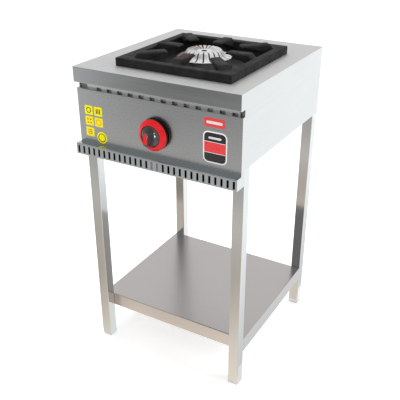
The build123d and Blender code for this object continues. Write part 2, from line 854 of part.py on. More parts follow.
# Turning plug in the tap, with a flatted hole for the spindle's tail and a cross port
tail_hole = tail_radius + running_clearance
tail_depth = tail_engagement + tail_spare
with BuildPart() as tap_plug:
    rod(
        (tap_x, plug_front + plug_end_gap, tap_height),
        (0, 1, 0),
        chamber_radius - running_clearance,
        plug_length - 2 * plug_end_gap,
    )
    with BuildSketch(tap_plane.offset(tap_nose + spring_space + plug_end_gap)):
        Circle(tail_hole)
        with Locations((0, tail_flat + running_clearance)):
            Rectangle(2 * tail_hole, tail_hole, align=(Align.CENTER, Align.MIN), mode=Mode.SUBTRACT)
    extrude(amount=tail_depth, mode=Mode.SUBTRACT)
    rod((tap_x, outlet_y, tap_height), (0, 0, 1), gas_bore, chamber_radius, Mode.SUBTRACT)
save(tap_plug, "tap_plug")

# Spindle: carried by the knob, sliding through the tap's nose into the plug
collar_front = tap_nose + collar_stop_gap
collar_back = collar_front + collar_length
tail_end = tap_nose + spring_space + plug_end_gap + tail_engagement
spindle_start = panel_y - knob_face
with BuildPart() as spindle:
    rod((tap_x, spindle_start, tap_height), (0, 1, 0), spindle_radius, knob_face + sheet + collar_front)
    rod((tap_x, panel_back + collar_front, tap_height), (0, 1, 0), collar_radius, collar_length)
    with BuildSketch(tap_plane.offset(collar_back)):
        Circle(tail_radius)
        with Locations((0, tail_flat)):
            Rectangle(2 * tail_radius, tail_radius, align=(Align.CENTER, Align.MIN), mode=Mode.SUBTRACT)
    extrude(amount=tail_end - collar_back)
save(spindle, "spindle")

# Return spring between the spindle's collar and the plug
spring_length = tap_nose + spring_space + plug_end_gap - collar_back - spring_wire - 2 * spring_end_gap
spring_start = panel_back + collar_back + spring_end_gap + spring_wire / 2
with BuildPart() as tap_spring:
    with BuildLine():
        coil = Helix(
            pitch=spring_length / spring_turns,
            height=spring_length,
            radius=spring_radius,
            center=(tap_x, spring_start, tap_height),
            direction=(0, 1, 0),
        )
    with BuildSketch(Plane(origin=coil @ 0, z_dir=coil % 0)):
        Circle(spring_wire / 2)
    sweep()
save(tap_spring, "tap_spring")

# Bezel on the panel behind the knob, held by the screws that hold the tap
with BuildPart() as knob_bezel:
    with BuildSketch(knob_plane):
        Circle(bezel_radius)
        Circle(bezel_hole, mode=Mode.SUBTRACT)
        for x, height in tap_screw_places:
            with Locations((x - tap_x, height - tap_height)):
                Circle(m4_radius + hole_clearance, mode=Mode.SUBTRACT)
    extrude(amount=bezel_depth)
    fillet(knob_bezel.faces().sort_by(Axis.Y)[0].outer_wire().edges(), radius=bezel_depth / 2)
save(knob_bezel, "knob_bezel")

tap_screw_length = bezel_depth + sheet + tap_flange_depth
with BuildPart() as tap_screws:
    for x, height in tap_screw_places:
        rod((x, panel_y - bezel_depth, height), (0, -1, 0), m4_head_radius, m4_head)
        rod((x, panel_y - bezel_depth, height), (0, 1, 0), m4_radius, tap_screw_length)
save(tap_screws, "tap_screws")

# Knob body: a hollow skirt, a round hub and an upright grip bar
with BuildPart() as knob_body:
    with BuildSketch(knob_plane.offset(knob_gap)):
        Circle(knob_radius)
    extrude(amount=knob_skirt)
    with BuildSketch(knob_plane.offset(knob_face)):
        Circle(hub_radius)
    extrude(amount=hub_rise)
    fillet(knob_body.edges().filter_by(GeomType.CIRCLE).sort_by(Axis.Y)[0], radius=hub_round)
    with BuildSketch(Plane.YZ.offset(tap_x)):
        with BuildLine():
            Polyline(
                (panel_y - knob_face, tap_height - grip_base / 2),
                (panel_y - knob_face - hub_rise, tap_height - grip_base / 2),
                (panel_y - knob_front, tap_height - grip_length / 2),
                (panel_y - knob_front, tap_height + grip_length / 2),
                (panel_y - knob_face - hub_rise, tap_height + grip_base / 2),
                (panel_y - knob_face, tap_height + grip_base / 2),
                close=True,
            )
        make_face()
    extrude(amount=grip_width / 2, both=True)
    fillet(knob_body.faces().sort_by(Axis.Y)[0].outer_wire().edges(), radius=grip_round)
    with BuildSketch(knob_plane.offset(knob_gap)):
        Circle(knob_radius - knob_wall)
        Circle(knob_core_radius, mode=Mode.SUBTRACT)
    extrude(amount=knob_hollow, mode=Mode.SUBTRACT)
    with BuildSketch(knob_plane.offset(knob_gap)):
        Circle(spindle_radius + thread_clearance)
    extrude(amount=knob_skirt, mode=Mode.SUBTRACT)
    with BuildSketch(knob_plane.offset(knob_front)):
        Rectangle(pointer_width, pointer_length)
    extrude(amount=-pointer_inset, mode=Mode.SUBTRACT)
save(knob_body, "knob_body")

# Knob ring: a cone from the skirt's edge up to the hub's face
with BuildPart() as knob_ring:
    with BuildSketch(Plane(origin=(tap_x, panel_y, tap_height), x_dir=(1, 0, 0), z_dir=(0, 0, -1))):
        with BuildLine():
            Polyline(
                (ring_inner, knob_face),
                (knob_radius, knob_face),
                (knob_radius, knob_face + ring_lip),
                (ring_inner, knob_face + hub_rise),
                close=True,
            )
        make_face()
    revolve(axis=Axis((tap_x, panel_y, tap_height), (0, 1, 0)))
save(knob_ring, "knob_ring")

with BuildPart() as knob_pointer:
    with BuildSketch(knob_plane.offset(knob_front)):
        Rectangle(pointer_width - 2 * thread_clearance, pointer_length - 2 * thread_clearance)
    extrude(amount=-pointer_inset)
save(knob_pointer, "knob_pointer")

# Manifold: a pipe from the back along the right side and across to the tap
pipe_end_y = back_inner - inlet_body_length
pipe_left = tap_x - pipe_stub
with BuildPart() as manifold:
    with BuildLine():
        FilletPolyline(
            (pipe_left, pipe_y, tap_height),
            (pipe_x, pipe_y, tap_height),
            (pipe_x, pipe_end_y, tap_height),
            radius=pipe_bend,
        )
    with BuildSketch(Plane(origin=(pipe_left, pipe_y, tap_height), z_dir=(1, 0, 0))):
        Circle(pipe_radius)
    sweep()
    rod((tap_x, tap_rear, tap_height), (0, 1, 0), pipe_boss_radius, pipe_boss_length)
    with BuildLine():
        FilletPolyline(
            (pipe_left + pipe_end_cap, pipe_y, tap_height),
            (pipe_x, pipe_y, tap_height),
            (pipe_x, pipe_end_y, tap_height),
            radius=pipe_bend,
        )
    with BuildSketch(Plane(origin=(pipe_left + pipe_end_cap, pipe_y, tap_height), z_dir=(1, 0, 0))):
        Circle(pipe_bore)
    sweep(mode=Mode.SUBTRACT)
    rod((tap_x, tap_rear, tap_height), (0, 1, 0), gas_bore, pipe_boss_length, Mode.SUBTRACT)
save(manifold, "manifold")

# Bulkhead fitting through the back panel with the threaded gas inlet, and its locknut
with BuildPart() as gas_inlet:
    hexagon((pipe_x, pipe_end_y, tap_height), (0, 1, 0), inlet_flats, inlet_body_length)
    rod((pipe_x, back_inner, tap_height), (0, 1, 0), bulkhead_radius, sheet + inlet_nut_height)
    rod((pipe_x, back_y + inlet_nut_height, tap_height), (0, 1, 0), thread_radius, thread_length)
    rod((pipe_x, pipe_end_y, tap_height), (0, 1, 0), pipe_bore, worktop_depth, Mode.SUBTRACT)
save(gas_inlet, "gas_inlet")

nut_bore = bulkhead_radius + thread_clearance
with BuildPart() as inlet_locknut:
    hexagon((pipe_x, back_y, tap_height), (0, 1, 0), inlet_flats, inlet_nut_height)
    rod((pipe_x, back_y, tap_height), (0, 1, 0), nut_bore, inlet_nut_height, Mode.SUBTRACT)
save(inlet_locknut, "inlet_locknut")

# Brackets from the right side panel round the manifold
clip_first = shelf_middle - (clip_count - 1) * clip_pitch / 2 - clip_width / 2
clip_bore = pipe_radius + thread_clearance
with BuildPart() as pipe_brackets:
    for number in range(clip_count):
        clip_y = clip_first + number * clip_pitch
        rod((pipe_x, clip_y, tap_height), (0, 1, 0), pipe_radius + clip_wall, clip_width)
        block(
            (pipe_x, clip_y, tap_height - clip_wall / 2),
            (inner_half, clip_y + clip_width, tap_height + clip_wall / 2),
        )
        block(
            (inner_half - clip_wall, clip_y, tap_height - clip_foot / 2),
            (inner_half, clip_y + clip_width, tap_height + clip_foot / 2),
        )
        rod((pipe_x, clip_y, tap_height), (0, 1, 0), clip_bore, clip_width, Mode.SUBTRACT)
save(pipe_brackets, "pipe_brackets")

# Feed pipe from the tap's outlet up to the injector holder, with a nut at each end
feed_start = Vector(tap_x, outlet_y, tap_height + outlet_rise)
feed_end = Vector(burner_x, holder_y, holder_bottom)
feed_rise = Vector(0, 0, feed_run)
with BuildPart() as feed_pipe:
    with BuildLine():
        FilletPolyline(feed_start, feed_start + feed_rise, feed_end - feed_rise, feed_end, radius=feed_bend)
    with BuildSketch(Plane(origin=feed_start, z_dir=(0, 0, 1))):
        Circle(feed_radius)
        Circle(feed_bore, mode=Mode.SUBTRACT)
    sweep()
save(feed_pipe, "feed_pipe")

with BuildPart() as feed_nuts:
    hexagon(feed_start, (0, 0, 1), feed_nut_flats, feed_nut_height)
    hexagon(feed_end, (0, 0, -1), feed_nut_flats, feed_nut_height)
    rod(feed_start, (0, 0, 1), feed_radius + thread_clearance, feed_nut_height, Mode.SUBTRACT)
    rod(feed_end, (0, 0, -1), feed_radius + thread_clearance, feed_nut_height, Mode.SUBTRACT)
save(feed_nuts, "feed_nuts")

# Thermocouple: a probe beside the burner and its lead to the tap's magnet
probe_bottom = well_floor - probe_drop
probe_top = seat_height - cup_wall
magnet_end = tap_x - magnet_reach
nut_end = magnet_end - lead_nut_length
lead_turn_x = nut_end - lead_swing
with BuildPart() as thermocouple:
    with BuildLine():
        FilletPolyline(
            (probe_x, probe_y, probe_bottom),
            (probe_x, probe_y, probe_bottom - lead_run),
            (lead_turn_x, outlet_y, tap_height + lead_run),
            (lead_turn_x, outlet_y, tap_height),
            (magnet_end, outlet_y, tap_height),
            radius=lead_bend,
        )
    with BuildSketch(Plane(origin=(probe_x, probe_y, probe_bottom), z_dir=(0, 0, -1))):
        Circle(lead_radius)
    sweep()
    rod((probe_x, probe_y, probe_bottom), (0, 0, 1), probe_radius, probe_top - probe_bottom)
save(thermocouple, "thermocouple")

with BuildPart() as thermocouple_nut:
    hexagon((magnet_end, outlet_y, tap_height), (-1, 0, 0), lead_nut_flats, lead_nut_length)
    lead_hole = lead_radius + thread_clearance
    rod((magnet_end, outlet_y, tap_height), (-1, 0, 0), lead_hole, lead_nut_length, Mode.SUBTRACT)
save(thermocouple_nut, "thermocouple_nut")

# Grate: a square iron frame with fingers from its sides and corners, and lugs that drop into the well
grate_size = well_size + 2 * grate_lap
grate_half = grate_size / 2
frame_inner = grate_half - grate_bar
lug_outer = well_size / 2 - sheet - lug_clearance
finger_foot = worktop_height + finger_foot_rise
with BuildPart() as grate:
    with BuildSketch(Plane.XY.offset(worktop_height)):
        with Locations((burner_x, burner_y)):
            RectangleRounded(grate_size, grate_size, grate_corner)
            RectangleRounded(2 * frame_inner, 2 * frame_inner, grate_corner, mode=Mode.SUBTRACT)
    extrude(amount=grate_bar_height)
    for number in range(finger_count):
        angle = number * 360 / finger_count
        corner = number % 2 == 1
        tip = corner_tip_radius if corner else mid_tip_radius
        inner_edge = frame_inner * sqrt(2) if corner else frame_inner
        root = inner_edge + (corner_root_lap if corner else mid_root_lap)
        finger_plane = Plane(
            origin=(burner_x, burner_y, 0),
            x_dir=(cos(radians(angle)), sin(radians(angle)), 0),
            z_dir=(sin(radians(angle)), -cos(radians(angle)), 0),
        )
        with BuildSketch(finger_plane):
            with BuildLine():
                Polyline(
                    (tip, finger_under),
                    (tip, finger_top - finger_tip_drop),
                    (tip + finger_tip_slope, finger_top),
                    (root - finger_shoulder, finger_top),
                    (root, grate_top),
                    (inner_edge + finger_lap, grate_top),
                    (inner_edge + finger_lap, finger_foot),
                    (root, finger_foot),
                    (tip + finger_level, finger_under),
                    close=True,
                )
            make_face()
        extrude(amount=finger_width / 2, both=True)
    fillet(grate.edges().group_by(Axis.Z)[-1], radius=finger_round)
    with Locations((burner_x, burner_y, worktop_height - lug_depth)):
        with PolarLocations((frame_inner + lug_outer) / 2, finger_count // 2):
            Box(
                lug_outer - frame_inner,
                lug_width,
                lug_depth + grate_bar_height / 2,
                align=(Align.CENTER, Align.CENTER, Align.MIN),
            )
save(grate, "grate")
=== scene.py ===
import math

import bmesh
import bpy
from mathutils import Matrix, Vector


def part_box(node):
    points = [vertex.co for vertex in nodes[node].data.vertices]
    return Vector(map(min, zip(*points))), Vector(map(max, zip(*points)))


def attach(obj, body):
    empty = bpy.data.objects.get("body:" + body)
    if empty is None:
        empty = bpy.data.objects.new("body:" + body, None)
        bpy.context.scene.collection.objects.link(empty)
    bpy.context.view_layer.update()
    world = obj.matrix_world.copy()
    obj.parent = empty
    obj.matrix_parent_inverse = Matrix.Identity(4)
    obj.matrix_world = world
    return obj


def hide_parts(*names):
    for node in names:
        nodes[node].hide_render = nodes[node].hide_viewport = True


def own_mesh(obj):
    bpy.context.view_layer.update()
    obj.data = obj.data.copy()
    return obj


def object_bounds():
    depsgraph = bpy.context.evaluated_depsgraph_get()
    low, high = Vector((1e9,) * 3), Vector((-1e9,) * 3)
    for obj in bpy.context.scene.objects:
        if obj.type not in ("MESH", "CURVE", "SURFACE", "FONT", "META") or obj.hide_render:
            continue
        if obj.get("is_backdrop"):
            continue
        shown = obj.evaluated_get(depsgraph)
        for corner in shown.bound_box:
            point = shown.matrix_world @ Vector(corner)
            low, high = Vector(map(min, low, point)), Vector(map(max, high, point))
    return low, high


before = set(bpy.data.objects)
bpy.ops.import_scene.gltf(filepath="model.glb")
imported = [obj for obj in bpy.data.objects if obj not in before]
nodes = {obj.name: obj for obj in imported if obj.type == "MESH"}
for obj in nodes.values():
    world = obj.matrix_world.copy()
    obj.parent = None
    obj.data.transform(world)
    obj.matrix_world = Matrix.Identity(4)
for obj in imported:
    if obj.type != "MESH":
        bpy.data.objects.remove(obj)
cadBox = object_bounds()
scene = bpy.context.scene
scene.view_settings.view_transform = "Standard"
print("frame loaded:", len(nodes), "nodes")


# Places read from the frame
topLow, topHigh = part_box("worktop")
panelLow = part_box("control_panel")[0]
capLow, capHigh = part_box("burner_cap")
grateLow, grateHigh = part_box("grate")
ringLow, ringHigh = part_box("knob_ring")
ledgeLow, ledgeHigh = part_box("front_ledge")
inletLow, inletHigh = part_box("gas_inlet")
screwLow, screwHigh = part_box("back_panel_screws")
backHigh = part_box("back_panel")[1]
burner = Vector(((capLow.x + capHigh.x) / 2, (capLow.y + capHigh.y) / 2, topHigh.z))
knob = Vector(((ringLow.x + ringHigh.x) / 2, panelLow.y, (ringLow.z + ringHigh.z) / 2))


# Camera, placed from the fascia's middle on the floor
view = {
    "right": 0.81287,
    "ahead": 1.19100,
    "height": 1.26875,
    "down": 0.4715,
    "turn": 0.5202,
    "lens": 57.06,
    "sensor": 36.0,
    "near": 0.01,
}


def addCamera():
    camera = bpy.data.objects.new("camera", bpy.data.cameras.new("camera"))
    scene.collection.objects.link(camera)
    camera.location = (view["right"], topLow.y - view["ahead"], view["height"])
    camera.rotation_euler = (math.pi / 2 - view["down"], 0.0, view["turn"])
    camera.data.sensor_width = view["sensor"]
    camera.data.lens = view["lens"]
    camera.data.clip_start = view["near"]
    scene.camera = camera


addCamera()
print("camera set")


# Small helpers for shader nodes
def wire(giver, taker):
    giver.id_data.links.new(giver, taker)


def feed(taker, value):
    if isinstance(value, (int, float)):
        taker.default_value = value
    elif isinstance(value, tuple):
        taker.default_value = (*value, 1.0)
    else:
        wire(value, taker)


def addNoise(place, scale, detail=3.0):
    mapping = place.id_data.nodes.new("ShaderNodeMapping")
    mapping.inputs["Scale"].default_value = scale if isinstance(scale, list) else [scale] * 3
    noise = place.id_data.nodes.new("ShaderNodeTexNoise")
    noise.inputs["Scale"].default_value = 1.0
    noise.inputs["Detail"].default_value = detail
    wire(place, mapping.inputs["Vector"])
    wire(mapping.outputs["Vector"], noise.inputs["Vector"])
    return noise.outputs["Fac"]


def spread(value, low, high, start=0.3, end=0.7):
    ranger = value.id_data.nodes.new("ShaderNodeMapRange")
    for label, number in (("From Min", start), ("From Max", end), ("To Min", low), ("To Max", high)):
        ranger.inputs[label].default_value = number
    wire(value, ranger.inputs["Value"])
    return ranger.outputs["Result"]


def combine(operation, first, second):
    tree = (second if isinstance(first, float) else first).id_data
    maths = tree.nodes.new("ShaderNodeMath")
    maths.operation = operation
    feed(maths.inputs[0], first)
    feed(maths.inputs[1], second)
    return maths.outputs["Value"]


def combineVectors(operation, place, fixed):
    maths = place.id_data.nodes.new("ShaderNodeVectorMath")
    maths.operation = operation
    maths.inputs[1].default_value = fixed
    wire(place, maths.inputs[0])
    return maths.outputs


def mixColours(share, first, second):
    mixer = share.id_data.nodes.new("ShaderNodeMix")
    mixer.data_type = "RGBA"
    for number, value in ((0, share), (6, first), (7, second)):  # sockets of the share and the two colours
        feed(mixer.inputs[number], value)
    return mixer.outputs[2]


def splitPlace(place):
    split = place.id_data.nodes.new("ShaderNodeSeparateXYZ")
    wire(place, split.inputs["Vector"])
    return split.outputs


def startMaterial(name):
    material = bpy.data.materials.new(name)
    material.use_nodes = True
    return material, material.node_tree.nodes.new("ShaderNodeTexCoord").outputs["Object"]


def dressMaterial(material, colour, roughness, metal=0.0, gloss=0.5):
    shader = material.node_tree.nodes["Principled BSDF"].inputs
    feed(shader["Base Color"], colour)
    feed(shader["Roughness"], roughness)
    feed(shader["Metallic"], metal)
    feed(shader["Specular IOR Level"], gloss)
    return shader


def addBump(shader, height, strength, depth):
    bump = height.id_data.nodes.new("ShaderNodeBump")
    bump.inputs["Strength"].default_value = strength
    bump.inputs["Distance"].default_value = depth
    wire(height, bump.inputs["Height"])
    wire(bump.outputs["Normal"], shader["Normal"])


# Brushed stainless sheet, with its grain along one axis
steel = {
    "light": (0.62, 0.62, 0.615),
    "contrast": 0.125,
    "grainAlong": 4.0,
    "grainAcross": 1400.0,
    "grainHeight": 0.0002,
    "cloud": 7.0,
    "cloudLeast": 0.5,
    "topSkin": 0.001,  # what counts as the level top
    # the level top's colours, darkened as painted shade
    "shadedTopLight": (0.537, 0.537, 0.532),
    "shadedTopDark": (0.500, 0.500, 0.495),
    "scouredRough": 0.26,
    "scouredMetal": 0.45,
    "channelSkin": 0.0008,  # what counts as the channel's outer faces
    # near-black painted shade on the channel's inner faces
    "inside": (0.012, 0.012, 0.012),
}
white = (1.0, 1.0, 1.0)
sheets = {
    # grain, tone, smooth, rough, depth of the grain, its contrast, wear and painted shade
    "steelTop": ("x", white, 0.16, 0.26, 0.006, 0.25, "scoured"),
    "steelPanel": ("x", white, 0.25, 0.32, 0.004, 0.18, ""),
    # the vent strip's tone is raised as painted light, to lift the recessed strip out of the shade under the
    # fascia
    "steelVent": ("x", (1.42, 1.42, 1.44), 0.24, 0.32, 0.012, 0.4, ""),
    "steelLedge": ("x", (1.03, 1.08, 1.11), 0.10, 0.18, 0.04, 1.0, "sooty"),
    "steelShelf": ("x", (0.98, 0.93, 0.92), 0.24, 0.27, 0.004, 0.3, ""),
    "steelSide": ("y", white, 0.16, 0.26, 0.04, 1.0, ""),
    "steelLeg": ("z", white, 0.08, 0.14, 0.008, 0.5, ""),
}


def brushedSteel(name, grain, tone, smooth, rough, depth, streak, wearAndShade):
    material, place = startMaterial(name)
    stretch = [steel["grainAcross"]] * 3
    stretch["xyz".index(grain)] = steel["grainAlong"]
    streaks = addNoise(place, stretch, detail=2.0)
    clouds = spread(addNoise(place, steel["cloud"]), steel["cloudLeast"], 1.0)
    bright = combine("MULTIPLY", spread(streaks, 0.0, 1.0), clouds)
    light = tuple(share * channel for share, channel in zip(tone, steel["light"]))
    dark = tuple(channel * (1.0 - streak * steel["contrast"]) for channel in light)
    colour = mixColours(bright, dark, light)
    roughness = spread(streaks, smooth, rough)
    metal = 1.0
    if wearAndShade == "scoured":  # the level top: rougher from scrubbing, and its colour darkened as painted shade
        level = combine("GREATER_THAN", splitPlace(place)["Z"], topHigh.z - steel["topSkin"])
        scoured = mixColours(bright, steel["shadedTopDark"], steel["shadedTopLight"])
        colour = mixColours(level, colour, scoured)
        roughness = combine("ADD", roughness, combine("MULTIPLY", level, steel["scouredRough"]))
        metal = spread(level, 1.0, steel["scouredMetal"], 0.0, 1.0)
    if wearAndShade == "sooty":  # the channel's inner faces, behind the slots, painted near-black as shade
        away, margin = splitPlace(place), steel["channelSkin"]
        behind = combine("GREATER_THAN", away["Y"], ledgeLow.y + margin)
        above = combine("GREATER_THAN", away["Z"], ledgeLow.z + margin)
        below = combine("LESS_THAN", away["Z"], ledgeHigh.z - margin)
        inner = combine("MULTIPLY", behind, combine("MULTIPLY", above, below))
        colour = mixColours(inner, colour, steel["inside"])
    shader = dressMaterial(material, colour, roughness, metal)
    addBump(shader, streaks, depth, steel["grainHeight"])
    return material


# Zinc-plated steel with a faint spangle
zinc = {
    "light": (0.44, 0.45, 0.46),
    "dark": (0.37, 0.38, 0.39),
    "spangle": 130.0,
    "smooth": 0.36,
    "rough": 0.48,
}


def zincPlate():
    material, place = startMaterial("zincPlate")
    cells = place.id_data.nodes.new("ShaderNodeTexVoronoi")
    cells.inputs["Scale"].default_value = zinc["spangle"]
    wire(place, cells.inputs["Vector"])
    split = place.id_data.nodes.new("ShaderNodeSeparateColor")
    wire(cells.outputs["Color"], split.inputs["Color"])
    colour = mixColours(split.outputs["Red"], zinc["dark"], zinc["light"])
    roughness = spread(split.outputs["Green"], zinc["smooth"], zinc["rough"], 0.0, 1.0)
    dressMaterial(material, colour, roughness, 1.0)
    return material


# Sand-cast iron: blackened on the grate, with a brown stain towards the flame, and grey on the burner
iron = {
    "grateBody": (0.012, 0.0115, 0.011),
    "grateWorn": (0.022, 0.0215, 0.021),
    "burnerBody": (0.10, 0.098, 0.095),
    "burnerWorn": (0.16, 0.157, 0.15),
    "stain": (0.050, 0.030, 0.022),
    "stainPlace": (-0.016, -0.090, 0.028),  # from the burner's axis, at the worktop
    "stainCore": 0.3,
    "stainReach": 0.052,
    "stainLeast": 0.2,
    "grit": 900.0,
    "patch": 38.0,
    "smooth": 0.52,
    "rough": 0.72,
    "gloss": 0.2,
    "bump": 0.35,
    "depth": 0.0005,
}


def castIron(name, body, worn, stained):
    material, place = startMaterial(name)
    grit = addNoise(place, iron["grit"], detail=2.0)
    patch = addNoise(place, iron["patch"], detail=4.0)
    colour = mixColours(spread(patch, 0.0, 1.0), body, worn)
    if stained:
        reach = iron["stainReach"]
        away = combineVectors("DISTANCE", place, burner + Vector(iron["stainPlace"]))["Value"]
        near = spread(away, 1.0, 0.0, iron["stainCore"] * reach, reach)
        share = combine("MULTIPLY", near, spread(patch, iron["stainLeast"], 1.0))
        colour = mixColours(share, colour, iron["stain"])
    roughness = spread(patch, iron["rough"], iron["smooth"])
    shader = dressMaterial(material, colour, roughness, gloss=iron["gloss"])
    addBump(shader, grit, iron["bump"], iron["depth"])
    return material


# Burner alloy, pale and satin, browned in patches on one side: partly a flame tint, partly painted shade on
# that side
alloy = {
    "light": (0.80, 0.805, 0.805),
    "dark": (0.66, 0.665, 0.665),
    "straw": (0.49, 0.43, 0.405),  # the first, pale tint
    "brownAndShade": (0.075, 0.044, 0.038),
    "tintSide": (-0.930, 0.368, 0.0),
    "tintStart": 0.004,
    "tintFull": 0.046,
    "tintLeast": 0.55,
    "strawHeat": 0.5,  # where straw turns to brown
    "soot": (0.012, 0.011, 0.010),  # round the hole in the middle
    "sootRadius": 0.0076,
    "patch": 70.0,
    "grit": 700.0,
    "smooth": 0.40,
    "rough": 0.55,
    "metal": 0.6,
    "bump": 0.12,
    "depth": 0.0003,
}


def burnerAlloy():
    material, place = startMaterial("burnerAlloy")
    patch = addNoise(place, alloy["patch"], detail=4.0)
    grit = addNoise(place, alloy["grit"], detail=2.0)
    base = mixColours(spread(grit, 0.0, 1.0), alloy["dark"], alloy["light"])
    # one side turns straw, then dark brown: a flame tint that also serves as painted shade
    across = combineVectors("DOT_PRODUCT", place, alloy["tintSide"])["Value"]
    middle = burner.dot(Vector(alloy["tintSide"]))
    side = spread(across, 0.0, 1.0, middle + alloy["tintStart"], middle + alloy["tintFull"])
    heatAndShade = combine("MULTIPLY", side, spread(patch, alloy["tintLeast"], 1.0))
    pale = mixColours(spread(heatAndShade, 0.0, 1.0, 0.0, alloy["strawHeat"]), base, alloy["straw"])
    tintedAndShaded = mixColours(spread(heatAndShade, 0.0, 1.0, alloy["strawHeat"], 1.0), pale, alloy["brownAndShade"])
    level = combineVectors("MULTIPLY", place, (1.0, 1.0, 0.0))["Vector"]
    reach = combineVectors("DISTANCE", level, (burner.x, burner.y, 0.0))["Value"]
    colour = mixColours(combine("LESS_THAN", reach, alloy["sootRadius"]), tintedAndShaded, alloy["soot"])
    roughness = spread(grit, alloy["smooth"], alloy["rough"])
    shader = dressMaterial(material, colour, roughness, alloy["metal"])
    addBump(shader, grit, alloy["bump"], alloy["depth"])
    return material


# Plastic, printed plates and enamel: a colour with a little unevenness
rippleHeight = 0.0003
coats = {
    # light, dark, smooth, rough, patch, ripple, gloss, dimple
    "blackEnamel": ((0.050, 0.049, 0.048), (0.031, 0.0305, 0.030), 0.30, 0.45, 30.0, 260.0, 0.5, 0.06),
    # a grey sheet for behind the vent openings, standing in for the shade inside
    "fadedEnamel": ((0.300, 0.303, 0.312), (0.235, 0.238, 0.246), 0.40, 0.55, 30.0, 260.0, 0.5, 0.06),
    "bezelBlack": ((0.016, 0.016, 0.017), (0.010, 0.010, 0.011), 0.10, 0.18, 60.0, 500.0, 0.5, 0.06),
    "knobRed": ((0.82, 0.014, 0.020), (0.76, 0.011, 0.017), 0.26, 0.38, 60.0, 500.0, 0.25, 0.06),
    "plugPlastic": ((0.10, 0.10, 0.10), (0.07, 0.07, 0.07), 0.5, 0.65, 90.0, 600.0, 0.5, 0.06),
    "plateYellow": ((0.95, 0.845, 0.005), (0.93, 0.825, 0.004), 0.28, 0.40, 80.0, 700.0, 0.12, 0.01),
    "plateOrange": ((0.86, 0.36, 0.015), (0.80, 0.31, 0.012), 0.28, 0.40, 80.0, 700.0, 0.25, 0.01),
    "plateRed": ((0.80, 0.050, 0.055), (0.78, 0.045, 0.050), 0.26, 0.38, 80.0, 700.0, 0.4, 0.01),
    "plateWhite": ((0.88, 0.88, 0.88), (0.82, 0.82, 0.82), 0.28, 0.40, 80.0, 700.0, 0.4, 0.01),
    "plateBlack": ((0.029, 0.025, 0.027), (0.026, 0.022, 0.024), 0.26, 0.38, 80.0, 700.0, 0.4, 0.01),
}


def glossCoat(name, light, dark, smooth, rough, patch, ripple, gloss, dimple):
    material, place = startMaterial(name)
    cloud = addNoise(place, patch)
    wave = addNoise(place, ripple, detail=1.0)
    colour = mixColours(spread(cloud, 0.0, 1.0), dark, light)
    shader = dressMaterial(material, colour, spread(cloud, smooth, rough), gloss=gloss)
    addBump(shader, wave, dimple, rippleHeight)
    return material


# Knob moulding: a jet skirt, and a hub and grip in front of it painted lighter, a painted sheen that stands
# in for their reflections
moulding = {
    "skirt": (0.004, 0.004, 0.0045),
    "hubSheenLight": (0.088, 0.083, 0.085),
    "hubSheenDark": (0.050, 0.047, 0.048),
    "hubStart": 0.0015,  # behind the ring's back
    "patch": 60.0,
    "ripple": 500.0,
    "dimple": 0.01,
    "gloss": 0.15,
    "smooth": 0.07,
    "rough": 0.13,
}


def knobMoulding():
    material, place = startMaterial("knobBlack")
    cloud = addNoise(place, moulding["patch"])
    wave = addNoise(place, moulding["ripple"], detail=1.0)
    front = combine("LESS_THAN", splitPlace(place)["Y"], ringHigh.y + moulding["hubStart"])
    # the hub and grip take a lighter colour than the skirt: painted sheen
    hub = mixColours(spread(cloud, 0.0, 1.0), moulding["hubSheenDark"], moulding["hubSheenLight"])
    colour = mixColours(front, moulding["skirt"], hub)
    roughness = spread(cloud, moulding["smooth"], moulding["rough"])
    shader = dressMaterial(material, colour, roughness, gloss=moulding["gloss"])
    addBump(shader, wave, moulding["dimple"], rippleHeight)
    return material


# Turned brass and drawn copper with a tarnished bloom
tarnish = {"bloom": 60.0, "smooth": 0.22, "rough": 0.45}
tarnished = {
    # bright, dull
    "brass": ((0.80, 0.60, 0.28), (0.52, 0.36, 0.15)),
    "copper": ((0.78, 0.46, 0.30), (0.45, 0.24, 0.15)),
}


def tarnishedMetal(name, bright, dull):
    material, place = startMaterial(name)
    bloom = addNoise(place, tarnish["bloom"], detail=4.0)
    colour = mixColours(spread(bloom, 0.0, 1.0), dull, bright)
    dressMaterial(material, colour, spread(bloom, tarnish["rough"], tarnish["smooth"]), 1.0)
    return material


